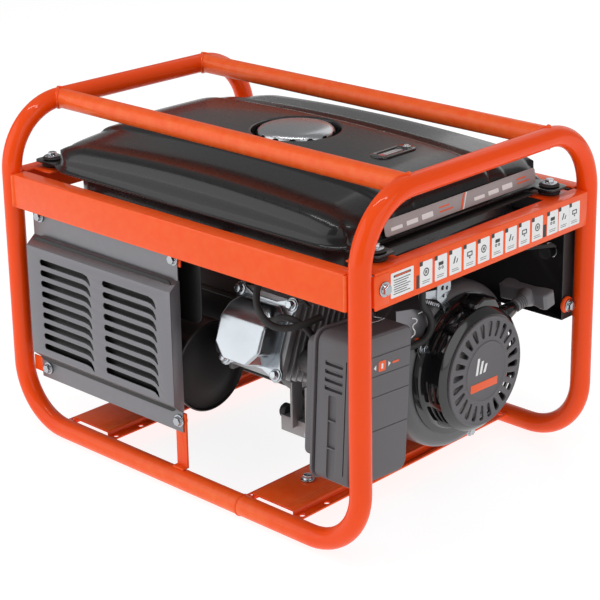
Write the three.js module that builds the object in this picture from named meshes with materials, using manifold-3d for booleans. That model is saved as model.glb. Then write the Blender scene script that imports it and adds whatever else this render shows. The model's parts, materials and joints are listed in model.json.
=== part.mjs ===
// A frame-mounted portable generator, in millimetres, +Z up.
// +X runs along the crankshaft towards the recoil starter, +Y towards the control panel,
// and the origin is the centre of the frame's footprint on the floor.
import * as THREE from "three";
import { mergeVertices } from "three/addons/utils/BufferGeometryUtils.js";
import Module from "manifold-3d";

const wasm = await Module();
wasm.setup();

// ---- driving dimensions -------------------------------------------------------------------
// tube frame
const FRAME_LENGTH = 602;
const FRAME_WIDTH = 431;
const FRAME_HEIGHT = 429.2;
const TUBE_RADIUS = 12.5;
const TUBE_WALL = 1.6;
const LOWER_BEND = 75;
const UPPER_BEND = 80;
const BEND_STEPS = 5;
const SEAM_X = 105;
const TOP_RAIL_Y = 124;
const GAP = 0.3; // clearance left between pieces that touch
// belt of angle iron round the frame, which carries the tank
const BELT_HEIGHT = 42;
const BELT_SHELF = 20;
const BELT_SHEET = 2;
const BELT_DROP = 91; // from the top of the frame to the belt's shelf
const BELT_PROUD = 10; // belt face outside the tube's centre plane
const SHELF_TAB_LENGTH = 46;
const SHELF_TAB_WIDTH = 44;
// cross channels on the bottom rails, under the engine and the alternator
const CHANNEL_WIDTH = 90;
const CHANNEL_STRIP = 14;
const CHANNEL_TOP = 24.5;
const CHANNEL_RISE = 6;
const CHANNEL_SHEET = 2.5;
const ENGINE_CHANNEL_X = 142;
const ALTERNATOR_CHANNEL_X = -178;
const STRIP_HOLE_RADIUS = 3.5;
const ISOLATOR_RADIUS = 17;
const ISOLATOR_HEIGHT = 18;
const ISOLATOR_HALF_SPAN = 80;
const ISOLATOR_Y = 24;
// louvred guard in front of the muffler
const GUARD_LENGTH = 261;
const GUARD_RIGHT_X = 5;
const GUARD_SHEET = 1.5;
const GUARD_STEP = 13;
const GUARD_BOTTOM = 72;
const LOUVRE_PITCH = 13.9;
const LOUVRE_SLOT = 7;
const LOUVRE_LENGTH = 94;
const LOUVRE_COLUMNS = [-185, -68];
const GUARD_BOLT_RADIUS = 3;
const STRUT_WIDTH = 18;
// tank
const TANK_LENGTH = 510;
const TANK_WIDTH = 370;
const TANK_WALL = 3;
const TANK_SEAT = 6; // rubber washer under each tank tab
const TANK_BELLY = 36; // how far the sump hangs below the flange
const SUMP_INSET = 20; // sump walls inside the tank's own
const TANK_SIDE = 40; // height of the side walls up to the shoulder at mid length
const TANK_CROWN = 58.5; // height of the crown above the flange
const TANK_BOLT_X = 268;
const TANK_BOLT_Y = 155;
const FILLER_RADIUS = 22;
const FILLER_X = 5;
const WELL_RADIUS = 55; // round well that the cap stands in
const WELL_DEPTH = 16;
const CAP_RADIUS = 48;
const CAP_HEIGHT = 18;
const GAUGE_X = 152;
const GAUGE_Y = 8;
// engine
const CRANK_Y = 31;
const CRANK_RISE = 109.4; // crank axis above the engine's feet
const CRANK_RADIUS = 14;
const CASE_LEFT = 45;
const CASE_RIGHT = 165;
const CASE_WALL = 6;
const HEAD_TILT = 20;
const HEAD_X = 84.5;
const HEAD_DROP = 12; // cylinder axis below the crank axis
const HEAD_REACH = 190; // crank axis to the rocker cover's flange
const HEAD_SIZE = 92;
const FIN_COUNT = 8;
const COVER_BOLT_HALF = 41;
const COVER_DEPTH = 34;
const FLYWHEEL_RADIUS = 86;
const FAN_HOUSING_RADIUS = 101.5;
const FAN_HOUSING_DROP = 5; // its centre below the crank axis
const FAN_HOUSING_LEFT = 170;
const FAN_HOUSING_RIGHT = 235;
const RECOIL_RADIUS = 85;
const RECOIL_FLANGE = 9; // rim of the bell outside it
const RECOIL_FACE_RADIUS = 66;
const RECOIL_FACE_X = 275;
const RECOIL_WALL = 3;
const RECOIL_SLOTS = 24;
const PULLEY_RADIUS = 42;
const ROPE_RADIUS = 2.5;
const ROPE_RISE = 10; // degrees above +Y
const HANDLE_REACH = 122;
const HANDLE_LENGTH = 70;
// air filter
const FILTER_TILT = 3.5;
const FILTER_WIDTH = 98;
const FILTER_HEIGHT = 172;
const FILTER_SPLIT_X = 214;
const FILTER_COVER_DEPTH = 52;
const FILTER_WALL = 2.5;
// exhaust
const MUFFLER_RADIUS = 54;
const MUFFLER_LENGTH = 226;
const MUFFLER_RIGHT_X = 3;
const MUFFLER_Y = -148;
const MUFFLER_Z = 140;
const PIPE_RADIUS = 12;
// alternator
const ALTERNATOR_RADIUS = 92;
const ALTERNATOR_RIGHT = 38;
const ALTERNATOR_LEFT = -200;
const END_COVER_LEFT = -248;
const STATOR_BORE = 55;
// control panel
const PANEL_LENGTH = 330;
const PANEL_HEIGHT = 124;
const PANEL_DEPTH = 30;
const PANEL_RIGHT_GAP = 1;
const PANEL_SHEET = 1.5;
const SOCKET_RADIUS = 21;
const METER_RADIUS = 22;

// ---- places worked out from them ----------------------------------------------------------
const POST_X = FRAME_LENGTH / 2 - TUBE_RADIUS;
const RAIL_Y = FRAME_WIDTH / 2 - TUBE_RADIUS;
const TOP_Z = FRAME_HEIGHT - TUBE_RADIUS;
const BELT_TOP = FRAME_HEIGHT - BELT_DROP;
const BELT_BOTTOM = BELT_TOP - BELT_HEIGHT;
const FEET_Z = CHANNEL_TOP + ISOLATOR_HEIGHT + 2 * GAP;
const CRANK_Z = FEET_Z + CRANK_RISE;
const FLANGE_Z = BELT_TOP + TANK_SEAT + 2 * GAP;
const DEG = Math.PI / 180;

// ---- colours ------------------------------------------------------------------------------
const paint = (color, roughness, metalness) =>
  new THREE.MeshStandardMaterial({ color, roughness, metalness });
const orange = () => paint(0xff4a0a, 0.35, 0);
const blackSatin = () => paint(0x1a1a1c, 0.4, 0);
const darkGrey = () => paint(0x3a393d, 0.45, 0.1);
const blackGloss = () => paint(0x101012, 0.2, 0);
const plastic = () => paint(0x333236, 0.55, 0);
const zinc = () => paint(0xb9c0c6, 0.3, 0.9);
const castAlloy = () => paint(0x77787a, 0.55, 0.7);
const steel = () => paint(0x8d8f92, 0.35, 0.9);
const rubber = () => paint(0x141414, 0.85, 0);
const copper = () => paint(0x9a4f2a, 0.4, 0.8);
const cream = () => paint(0xcfc6a5, 0.9, 0);
const red = () => paint(0xc01812, 0.4, 0);

// ---- making and joining solids ------------------------------------------------------------
// A closed geometry as a manifold, with its faces turned outwards.
function solid(geometry) {
  const bare = geometry.clone();
  bare.deleteAttribute("normal");
  bare.deleteAttribute("uv");
  const merged = mergeVertices(bare, 1e-3);
  const vertProperties = new Float32Array(merged.attributes.position.array);
  const triVerts = new Uint32Array(merged.index.array);
  const made = new wasm.Manifold(new wasm.Mesh({ numProp: 3, vertProperties, triVerts }));
  if (made.volume() > 0) return made;
  for (let i = 0; i < triVerts.length; i += 3) {
    [triVerts[i + 1], triVerts[i + 2]] = [triVerts[i + 2], triVerts[i + 1]];
  }
  return new wasm.Manifold(new wasm.Mesh({ numProp: 3, vertProperties, triVerts }));
}

function geometryOf(manifold) {
  const mesh = manifold.getMesh();
  const geometry = new THREE.BufferGeometry();
  geometry.setAttribute("position", new THREE.BufferAttribute(mesh.vertProperties, 3));
  geometry.setIndex(new THREE.BufferAttribute(mesh.triVerts, 1));
  geometry.computeVertexNormals();
  return geometry;
}

const sorted = (a, b) => [Math.min(a, b), Math.max(a, b)];
const join = (...solids) => solids.reduce((sum, part) => sum.add(part));
const cut = (body, ...tools) => tools.reduce((left, tool) => left.subtract(tool), body);

function block(x0, x1, y0, y1, z0, z1) {
  const geometry = new THREE.BoxGeometry(x1 - x0, y1 - y0, z1 - z0);
  return solid(geometry.translate((x0 + x1) / 2, (y0 + y1) / 2, (z0 + z1) / 2));
}

// Turns a shape made round or along +Y so that it runs along the axis "x", "y" or "z".
function along(geometry, axis) {
  if (axis === "x") geometry.rotateZ(-90 * DEG);
  if (axis === "z") geometry.rotateX(90 * DEG);
  return geometry;
}

// A round bar, or a cone when the end radius differs, whose centre line is at (x, y, z).
function rod(axis, radius, from, to, at, sides = 24, endRadius = radius) {
  const geometry = new THREE.CylinderGeometry(endRadius, radius, to - from, sides);
  geometry.translate(0, (from + to) / 2, 0);
  return solid(along(geometry, axis).translate(at[0], at[1], at[2]));
}

// A turned piece round the axis: the profile is [radius, distance along the axis].
function turned(axis, profile, at = [0, 0, 0], sides = 24) {
  const points = profile.map(([radius, distance]) => new THREE.Vector2(radius, distance));
  const geometry = new THREE.LatheGeometry(points, sides);
  return solid(along(geometry, axis).translate(at[0], at[1], at[2]));
}

// An outline in the plane across the axis, extruded from one distance to another.
// Across x the outline is (y, z), across y it is (x, z), and across z it is (x, y).
function slab(axis, outline, from, to) {
  const shape = new THREE.Shape(outline.map(([u, v]) => new THREE.Vector2(u, v)));
  const geometry = new THREE.ExtrudeGeometry(shape, { depth: to - from, bevelEnabled: false });
  const turn = new THREE.Matrix4();
  const [X, Y, Z] = [[1, 0, 0], [0, 1, 0], [0, 0, 1]].map((v) => new THREE.Vector3(...v));
  if (axis === "x") turn.makeBasis(Y, Z, X).setPosition(from, 0, 0);
  if (axis === "y") turn.makeBasis(X, Z, Y.clone().negate()).setPosition(0, to, 0);
  if (axis === "z") turn.makeBasis(X, Y, Z).setPosition(0, 0, from);
  return solid(geometry.applyMatrix4(turn));
}

// The corner points of a rectangle with rounded corners.
function roundedRectangle(u0, u1, v0, v1, radius, steps = 4) {
  const corners = [[u1, v0, -90], [u1, v1, 0], [u0, v1, 90], [u0, v0, 180]];
  return corners.flatMap(([u, v, start]) => {
    const cu = u === u1 ? u1 - radius : u0 + radius;
    const cv = v === v1 ? v1 - radius : v0 + radius;
    return Array.from({ length: steps + 1 }, (_, i) => {
      const angle = (start + (90 * i) / steps) * DEG;
      return [cu + radius * Math.cos(angle), cv + radius * Math.sin(angle)];
    });
  });
}

// A bent line: straight stretches joined by arcs, sampled only where it turns.
class BentLine extends THREE.Curve {
  constructor(corners, radii, stepsPerBend = BEND_STEPS) {
    super();
    this.stations = [];
    const points = corners.map((corner) => new THREE.Vector3(...corner));
    this.stations.push([points[0], points[1].clone().sub(points[0]).normalize()]);
    for (let i = 1; i < points.length - 1; i += 1) {
      const before = points[i].clone().sub(points[i - 1]).normalize();
      const after = points[i + 1].clone().sub(points[i]).normalize();
      const turn = before.angleTo(after);
      const setback = radii[i - 1] * Math.tan(turn / 2);
      const start = points[i].clone().addScaledVector(before, -setback);
      const inward = after.clone().addScaledVector(before, -before.dot(after)).normalize();
      for (let s = 0; s <= stepsPerBend; s += 1) {
        const angle = (turn * s) / stepsPerBend;
        const place = start.clone();
        place.addScaledVector(before, radii[i - 1] * Math.sin(angle));
        place.addScaledVector(inward, radii[i - 1] * (1 - Math.cos(angle)));
        const heading = before.clone().multiplyScalar(Math.cos(angle));
        this.stations.push([place, heading.addScaledVector(inward, Math.sin(angle))]);
      }
    }
    const last = points.length - 1;
    this.stations.push([points[last], points[last].clone().sub(points[last - 1]).normalize()]);
  }
  get steps() {
    return this.stations.length - 1;
  }
  getPoint(t) {
    return this.stations[Math.round(t * this.steps)][0].clone();
  }
  getPointAt(t) {
    return this.getPoint(t);
  }
  getTangentAt(t) {
    return this.stations[Math.round(t * this.steps)][1].clone();
  }
}

// A many-sided ring whose flats lie at the stated radius.
function ring(radius, sides) {
  const reach = radius / Math.cos(Math.PI / sides);
  return Array.from({ length: sides }, (_, i) => {
    const angle = ((i + 0.5) * 2 * Math.PI) / sides;
    return new THREE.Vector2(reach * Math.cos(angle), reach * Math.sin(angle));
  });
}

// A round tube bent along a line, open at both ends when it has a bore.
function bentTube(line, radius, bore = 0, sides = 12) {
  const shape = new THREE.Shape(ring(radius, sides));
  if (bore > 0) shape.holes.push(new THREE.Path(ring(bore, 8)));
  const options = { steps: line.steps, extrudePath: line, bevelEnabled: false };
  return solid(new THREE.ExtrudeGeometry(shape, options));
}

const generator = new THREE.Group();
generator.name = "portable_generator";

function add(name, manifold, material, parent = generator) {
  const mesh = new THREE.Mesh(geometryOf(manifold), material);
  mesh.name = name;
  parent.add(mesh);
  return mesh;
}

// ---- tube frame -----------------------------------------------------------------------------
// Each half is one tube: bottom rail, post, top end bar, post and bottom rail again.
function halfFrame(name, side) {
  const x = side * POST_X;
  const seam = SEAM_X + (side * GAP) / 2;
  const corners = [
    [seam, -RAIL_Y, TUBE_RADIUS],
    [x, -RAIL_Y, TUBE_RADIUS],
    [x, -RAIL_Y, TOP_Z],
    [x, RAIL_Y, TOP_Z],
    [x, RAIL_Y, TUBE_RADIUS],
    [seam, RAIL_Y, TUBE_RADIUS],
  ];
  const line = new BentLine(corners, [LOWER_BEND, UPPER_BEND, UPPER_BEND, LOWER_BEND]);
  add(name, bentTube(line, TUBE_RADIUS, TUBE_RADIUS - TUBE_WALL), orange());
}
halfFrame("frame_tube_left", -1);
halfFrame("frame_tube_right", 1);

const railEnd = POST_X - TUBE_RADIUS - GAP;
for (const [name, y] of [["top_rail_front", -TOP_RAIL_Y], ["top_rail_rear", TOP_RAIL_Y]]) {
  const line = new BentLine([[-railEnd, y, TOP_Z], [railEnd, y, TOP_Z]], []);
  add(name, bentTube(line, TUBE_RADIUS, TUBE_RADIUS - TUBE_WALL), orange());
}

// ---- belt -----------------------------------------------------------------------------------
// An angle with its face outwards and its shelf inwards, along x or y.
const beltFaceY = RAIL_Y + BELT_PROUD;
const beltFaceX = POST_X + BELT_PROUD;
const guardInnerY = -beltFaceY + GUARD_STEP;
const guardLeft = GUARD_RIGHT_X - GUARD_LENGTH;
const guardBoltX = [guardLeft + GUARD_STEP, GUARD_RIGHT_X - 6];
const guardBoltLow = GUARD_BOTTOM + 14;
const guardBoltHigh = BELT_BOTTOM - 8;

function longBelt(name, side) {
  const reach = POST_X - TUBE_RADIUS - GAP;
  const [outer, inner] = [side * beltFaceY, side * (beltFaceY - BELT_SHEET)];
  const shelf = side * (beltFaceY - BELT_SHELF);
  const face = block(-reach, reach, ...sorted(outer, inner), BELT_BOTTOM, BELT_TOP);
  const ledge = block(-reach, reach, ...sorted(inner, shelf), BELT_TOP - BELT_SHEET, BELT_TOP);
  if (side > 0) return add(name, join(face, ledge), orange());
  // small tabs below the front belt take the guard's upper bolts
  const tabs = guardBoltX.map((x) => {
    const back = guardInnerY + GUARD_SHEET + GAP;
    const arm = block(x - 9, x + 9, -beltFaceY + 0.5, back + 2, BELT_BOTTOM, BELT_BOTTOM + 2);
    const tab = block(x - 9, x + 9, back, back + 2, guardBoltHigh - 9, BELT_BOTTOM + 2);
    const hole = rod("y", GUARD_BOLT_RADIUS + GAP, back - 1, back + 3, [x, 0, guardBoltHigh], 12);
    return cut(join(arm, tab), hole);
  });
  return add(name, join(face, ledge, ...tabs), orange());
}
longBelt("belt_front", -1);
longBelt("belt_rear", 1);

// The posts may have begun to lean inwards at the belt's top, so the end belts' gap follows them.
const bentPart = Math.max(0, BELT_TOP - TOP_Z + UPPER_BEND);
const bendDrift = bentPart * Math.tan((45 / BEND_STEPS) * DEG);
const endBeltGap = Math.max(GAP, bendDrift + 0.05);

function endBelt(name, side) {
  const reach = RAIL_Y - TUBE_RADIUS - endBeltGap;
  const span = (a, b) => sorted(side * a, side * b);
  const face = block(...span(beltFaceX - BELT_SHEET, beltFaceX), -reach, reach, BELT_BOTTOM, BELT_TOP);
  const ledge = block(
    ...span(beltFaceX - BELT_SHELF, beltFaceX - 1), -reach, reach, BELT_TOP - BELT_SHEET, BELT_TOP,
  );
  const tabs = [-1, 1].map((end) => {
    const y = end * TANK_BOLT_Y;
    const inner = Math.min(TANK_BOLT_X, POST_X) - SHELF_TAB_WIDTH / 2;
    return block(
      ...span(inner, beltFaceX - BELT_SHELF + 1),
      y - SHELF_TAB_LENGTH / 2, y + SHELF_TAB_LENGTH / 2, BELT_TOP - BELT_SHEET, BELT_TOP,
    );
  });
  const body = join(face, ledge, ...tabs);
  const corners = [-1, 1].map((end) => {
    const [y0, y1] = sorted(end * (reach + 1), end * (RAIL_Y - BELT_SHELF - 3));
    return block(...span(0, POST_X - TUBE_RADIUS), y0, y1, BELT_TOP - 4, BELT_TOP + 1);
  });
  add(name, cut(body, ...corners), orange());
}
endBelt("belt_left", -1);
endBelt("belt_right", 1);

// ---- cross channels -------------------------------------------------------------------------
function isolatorPlaces(x) {
  return [[x, ISOLATOR_Y - ISOLATOR_HALF_SPAN], [x, ISOLATOR_Y + ISOLATOR_HALF_SPAN]];
}

function crossChannel(name, x) {
  const half = CHANNEL_WIDTH / 2;
  const crest = half - CHANNEL_STRIP;
  const low = CHANNEL_TOP - CHANNEL_RISE;
  const reach = RAIL_Y - TUBE_RADIUS - GAP;
  const outline = [
    [x - half, low - CHANNEL_SHEET], [x - crest, low - CHANNEL_SHEET],
    [x - crest, CHANNEL_TOP - CHANNEL_SHEET], [x + crest, CHANNEL_TOP - CHANNEL_SHEET],
    [x + crest, low - CHANNEL_SHEET], [x + half, low - CHANNEL_SHEET],
    [x + half, low], [x + crest + CHANNEL_SHEET, low], [x + crest + CHANNEL_SHEET, CHANNEL_TOP],
    [x - crest - CHANNEL_SHEET, CHANNEL_TOP], [x - crest - CHANNEL_SHEET, low], [x - half, low],
  ];
  let channel = slab("y", outline, -reach, reach);
  for (const side of [-1, 1]) {
    for (const y of [-reach + 7, -reach + 48, reach - 48, reach - 7]) {
      const place = [x + side * (half - CHANNEL_STRIP / 2 + 1.5), y, 0];
      channel = cut(channel, rod("z", STRIP_HOLE_RADIUS, 0, low + 5, place, 8));
    }
  }
  add(name, channel, orange());
}
crossChannel("cross_channel_left", ALTERNATOR_CHANNEL_X);
crossChannel("cross_channel_right", ENGINE_CHANNEL_X);

const isolatorNames = ["alternator_isolator", "engine_isolator"];
[ALTERNATOR_CHANNEL_X, ENGINE_CHANNEL_X].forEach((x, i) => {
  isolatorPlaces(x).forEach(([px, py], j) => {
    const base = CHANNEL_TOP + GAP;
    const waist = ISOLATOR_RADIUS - 3;
    const profile = [
      [0, 0], [ISOLATOR_RADIUS, 0], [ISOLATOR_RADIUS, 3], [waist, 6],
      [waist, ISOLATOR_HEIGHT - 6], [ISOLATOR_RADIUS, ISOLATOR_HEIGHT - 3],
      [ISOLATOR_RADIUS, ISOLATOR_HEIGHT], [0, ISOLATOR_HEIGHT],
    ];
    const name = isolatorNames[i] + (j === 0 ? "_front" : "_rear");
    add(name, turned("z", profile, [px, py, base], 12), rubber());
  });
});

// ---- muffler guard, its strut and bolts -------------------------------------------------------
function mufflerGuard() {
  const outer = -beltFaceY;
  const t = GUARD_SHEET;
  const lowStep = [GUARD_BOTTOM + 26, GUARD_BOTTOM + 37.5];
  const highStep = [BELT_BOTTOM - 44.5, BELT_BOTTOM - 33.5];
  const face = [
    [guardInnerY, GUARD_BOTTOM], [guardInnerY, lowStep[0]], [outer, lowStep[1]],
    [outer, highStep[0]], [guardInnerY, highStep[1]], [guardInnerY, BELT_BOTTOM - GAP],
  ];
  const slack = [0, 0, -0.6, 0.6, 0, 0]; // keeps the sheet's thickness round the folds
  const back = face.map(([y, z], i) => [y + t, z + slack[i]]).reverse();
  let guard = slab("x", [...face, ...back], guardLeft, GUARD_RIGHT_X);
  for (const x of [guardLeft, GUARD_RIGHT_X - t]) {
    const cheek = [
      [guardInnerY + 3, lowStep[0]], [guardInnerY + 3, highStep[1]],
      [guardInnerY + 0.2, highStep[1]], [outer + 0.2, highStep[0]],
      [outer + 0.2, lowStep[1]], [guardInnerY + 0.2, lowStep[0]],
    ].reverse();
    guard = join(guard, slab("x", cheek, x, x + t));
  }
  const firstSlot = lowStep[1] + 13.5;
  const slots = Math.floor((highStep[0] - firstSlot - 10) / LOUVRE_PITCH) + 1;
  for (const x of LOUVRE_COLUMNS) {
    for (let i = 0; i < slots; i += 1) {
      const z = firstSlot + i * LOUVRE_PITCH;
      const [x0, x1] = [x - LOUVRE_LENGTH / 2, x + LOUVRE_LENGTH / 2];
      const [z0, z1] = [z - LOUVRE_SLOT / 2, z + LOUVRE_SLOT / 2];
      guard = cut(guard, block(x0, x1, outer - 1, outer + t + 1, z0, z1));
    }
  }
  for (const x of guardBoltX) {
    for (const z of [guardBoltLow, guardBoltHigh]) {
      const hole = rod("y", GUARD_BOLT_RADIUS + GAP, outer - 2, guardInnerY + 4, [x, 0, z], 12);
      guard = cut(guard, hole);
    }
  }
  add("muffler_guard", guard, darkGrey());
}
mufflerGuard();

const tabBack = guardInnerY + GUARD_SHEET + GAP;
const strutX = guardBoltX[1];
const strutSpan = [strutX - STRUT_WIDTH / 2, strutX + STRUT_WIDTH / 2];
const strutFoot = 2 * TUBE_RADIUS + GAP;
add("guard_strut", cut(
  join(
    block(...strutSpan, tabBack, tabBack + 3, strutFoot, guardBoltLow + 10),
    block(...strutSpan, -RAIL_Y - 3, tabBack + 3, strutFoot, strutFoot + 2.5),
  ),
  rod("y", GUARD_BOLT_RADIUS + GAP, tabBack - 1, tabBack + 4, [strutX, 0, guardBoltLow], 12),
), orange());
const tabSpan = [-POST_X + TUBE_RADIUS + 2, guardBoltX[0] + 9];
add("guard_tab", cut(
  block(...tabSpan, tabBack, tabBack + 2, guardBoltLow - 10, guardBoltLow + 10),
  rod("y", GUARD_BOLT_RADIUS + GAP, tabBack - 1, tabBack + 3, [guardBoltX[0], 0, guardBoltLow], 12),
), orange());

const guardBoltNames = ["guard_bolt_left", "guard_bolt_right"];
guardBoltX.forEach((x, i) => {
  [["_low", guardBoltLow], ["_high", guardBoltHigh]].forEach(([level, z]) => {
    const face = guardInnerY - GAP;
    const bolt = join(
      rod("y", 8, face - 1.5, face, [x, 0, z], 16),
      rod("y", 5.8, face - 6, face - 1, [x, 0, z], 6),
      rod("y", GUARD_BOLT_RADIUS, face - 1, tabBack + 8, [x, 0, z], 10),
    );
    add(guardBoltNames[i] + level, bolt, zinc());
  });
});

// ---- fuel tank --------------------------------------------------------------------------------
// The tank is where three outlines meet: its plan, its arched side view and its crowned end view.
const crownZ = FLANGE_Z + TANK_CROWN;
const wellFloor = crownZ - WELL_DEPTH;
const neckTop = wellFloor + 7;
const tapX = 190;
const tapY = -60;
const cheekX = TANK_LENGTH / 2;
const cheekY = TANK_WIDTH / 2;

function tankSolid(inset) {
  const well = rod("z", WELL_RADIUS + inset, wellFloor - inset, crownZ + 5, [FILLER_X, 0, 0], 24);
  const [hx, hy] = [cheekX - 6 - inset, cheekY - 6 - inset];
  const floor = FLANGE_Z + inset;
  const crown = crownZ - inset;
  const shoulder = FLANGE_Z + TANK_SIDE - inset;
  const arch = Array.from({ length: 7 }, (_, i) => {
    const u = -1 + i / 3;
    return [u * hx, crown - 26 * u * u];
  });
  const side = [[-hx, floor], [hx, floor], ...arch.reverse()];
  const end = [
    [-hy, floor], [hy, floor], [hy, shoulder - 4], [hy - 8, shoulder],
    [hy * 0.62, crown - 5], [hy * 0.5, crown], [-hy * 0.5, crown], [-hy * 0.62, crown - 5],
    [-hy + 8, shoulder], [-hy, shoulder - 4],
  ];
  const plan = roundedRectangle(-hx, hx, -hy, hy, 42 - inset, 3);
  const height = [floor - 1, crown + 1];
  const shape = slab("y", side, -hy - 1, hy + 1)
    .intersect(slab("x", end, -hx - 1, hx + 1))
    .intersect(slab("z", plan, ...height));
  const [sx, sy] = [hx - SUMP_INSET, hy - SUMP_INSET];
  const sumpPlan = roundedRectangle(-sx, sx, -sy, sy, 36 - inset, 3);
  const sump = slab("z", sumpPlan, FLANGE_Z - TANK_BELLY + inset, floor + 1);
  return cut(join(shape, sump), well);
}

function fuelTank() {
  const flangePlan = roundedRectangle(-cheekX, cheekX, -cheekY, cheekY, 46, 3);
  const flange = slab("z", flangePlan, FLANGE_Z, FLANGE_Z + 2.5);
  const tabs = [-1, 1].flatMap((sx) => [-1, 1].map((sy) => {
    const [x, y] = [sx * TANK_BOLT_X, sy * TANK_BOLT_Y];
    const outer = Math.min(TANK_BOLT_X + 16, POST_X - 2);
    const [x0, x1] = sorted(sx * outer, sx * (cheekX - 30));
    const tab = block(x0, x1, y - 16, y + 16, FLANGE_Z, FLANGE_Z + 2.5);
    return cut(tab, rod("z", 4.5, FLANGE_Z - 1, FLANGE_Z + 4, [x, y, 0], 12));
  }));
  const bolts = [-1, 1].flatMap((sx) => [-1, 1].map((sy) =>
    rod("z", 4.5, FLANGE_Z - 1, FLANGE_Z + 4, [sx * TANK_BOLT_X, sy * TANK_BOLT_Y, 0], 12)));
  const neck = rod("z", FILLER_RADIUS + 2.5, wellFloor - 1, neckTop, [FILLER_X, 0, 0], 24);
  const filler = rod("z", FILLER_RADIUS, wellFloor - 12, neckTop + 1, [FILLER_X, 0, 0], 24);
  const gaugeSeat = rod("z", 12, crownZ - 30, crownZ + 1, [GAUGE_X, GAUGE_Y, 0], 16);
  const tap = rod("z", 5, FLANGE_Z - TANK_BELLY - 4, FLANGE_Z, [tapX, tapY, 0], 12);
  const body = join(tankSolid(0), flange, ...tabs, neck);
  return cut(body, tankSolid(TANK_WALL), filler, gaugeSeat, tap, ...bolts);
}
add("fuel_tank", fuelTank(), blackSatin());

// The filler cap: a chrome shell that turns over its plug, and the plug that sits in the neck.
const capSkirt = wellFloor + 1;
const stopperTop = neckTop + GAP + 2.5;
add("cap_plug", join(
  rod("z", FILLER_RADIUS - GAP, wellFloor, stopperTop, [FILLER_X, 0, 0], 24),
  rod("z", FILLER_RADIUS + 6, neckTop + GAP, stopperTop, [FILLER_X, 0, 0], 24),
), rubber());
function fuelCap() {
  const [outer, inner] = [CAP_RADIUS, CAP_RADIUS - 2];
  const top = capSkirt + CAP_HEIGHT;
  const under = stopperTop + GAP;
  const profile = [
    [0, under], [inner - 6, under], [inner, capSkirt + 1], [inner, capSkirt],
    [outer, capSkirt], [outer, top - 8], [outer - 8, top - 1], [0, top + 1],
  ];
  let cap = turned("z", profile, [FILLER_X, 0, 0], 32);
  const scallops = 12;
  for (let i = 0; i < scallops; i += 1) {
    const angle = (i * 360 / scallops) * DEG;
    const place = [FILLER_X + (outer + 3.4) * Math.cos(angle), (outer + 3.4) * Math.sin(angle), 0];
    cap = cut(cap, rod("z", 4.6, capSkirt - 1, top - 6, place, 8));
  }
  return cap;
}
add("fuel_cap", fuelCap(), steel());

const gaugeTopZ = crownZ - 26 * (GAUGE_X / (cheekX - 6)) ** 2 + 1;
const gaugePlan = roundedRectangle(GAUGE_X - 13, GAUGE_X + 13, GAUGE_Y - 33, GAUGE_Y + 33, 8, 2);
add("fuel_gauge", join(
  slab("z", gaugePlan, gaugeTopZ + 1.5, gaugeTopZ + 6),
  rod("z", 12 - GAP, crownZ - 34, gaugeTopZ + 3, [GAUGE_X, GAUGE_Y, 0], 16),
), blackSatin());

// The tap screwed in the tank's floor, and its lever.
const tapTop = FLANGE_Z - TANK_BELLY - GAP;
add("fuel_tap", join(
  rod("z", 5 - GAP, tapTop - 4, tapTop + 2.5, [tapX, tapY, 0], 12),
  block(tapX - 9, tapX + 9, tapY - 8, tapY + 8, tapTop - 24, tapTop - 3),
  rod("z", 3.5, tapTop - 38, tapTop - 23, [tapX, tapY, 0], 10),
), steel());
add("fuel_tap_lever", join(
  rod("y", 6, tapY - 12, tapY - 8 - GAP, [tapX, 0, tapTop - 14], 12),
  block(tapX - 3, tapX + 3, tapY - 12, tapY - 9, tapTop - 40, tapTop - 12),
), blackSatin());

// ---- engine -------------------------------------------------------------------------------------
// The group's origin is on the crank axis, so y and z are measured from it.
const engine = new THREE.Group();
engine.position.set(0, CRANK_Y, CRANK_Z);
generator.add(engine);

const footRight = FAN_HOUSING_LEFT - 2;
const footY = isolatorPlaces(0).map(([, y]) => y - CRANK_Y);
const dipstickX = CASE_LEFT + 15;
const DIPSTICK_Z = -70;
const BORE_RADIUS = 33;
const barrelSeat = -96;
// Turns a solid made along the cylinder's own -Y into the engine's frame.
function ontoHead(body) {
  return body.rotate([-HEAD_TILT, 0, 0]).translate([HEAD_X, 0, -HEAD_DROP]);
}
function crankcase() {
  const shell = join(
    slab("x", [[-75, -88], [82, -88], [82, 20], [55, 52], [-40, 52], [-75, 22]], CASE_LEFT, CASE_RIGHT),
    block(CASE_LEFT + 4, CASE_RIGHT + 2, -111, 92, -104, -84),
    block(ENGINE_CHANNEL_X - 40, footRight, footY[0] - 17, footY[1] + 17, -CRANK_RISE, -100),
    rod("x", 62, CASE_LEFT - 6, CASE_RIGHT + 4, [0, 0, 0], 24),
    rod("y", 13, -82, -70, [dipstickX, 0, DIPSTICK_Z], 12),
    ontoHead(block(-38, 38, barrelSeat + GAP, -50, -38, 38)),
  );
  const inside = [CASE_LEFT + CASE_WALL, CASE_RIGHT - CASE_WALL];
  const room = join(
    slab("x", [[-68, -80], [74, -80], [74, 16], [50, 45], [-36, 45], [-68, 18]], ...inside),
    rod("x", 56, ...inside, [0, 0, 0], 28),
  );
  const journals = rod("x", CRANK_RADIUS + GAP, CASE_LEFT - 10, CASE_RIGHT + 10, [0, 0, 0], 24);
  const dipstick = rod("y", 9, -116, -60, [dipstickX, 0, DIPSTICK_Z], 12);
  const bore = ontoHead(rod("y", BORE_RADIUS, barrelSeat - 1, -30, [0, 0, 0], 20));
  const bolts = footY.map((y) => rod("z", 5, -CRANK_RISE - 1, -90, [ENGINE_CHANNEL_X, y, 0], 12));
  return cut(shell, room, journals, dipstick, bore, ...bolts);
}
add("crankcase", crankcase(), castAlloy(), engine);

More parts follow.
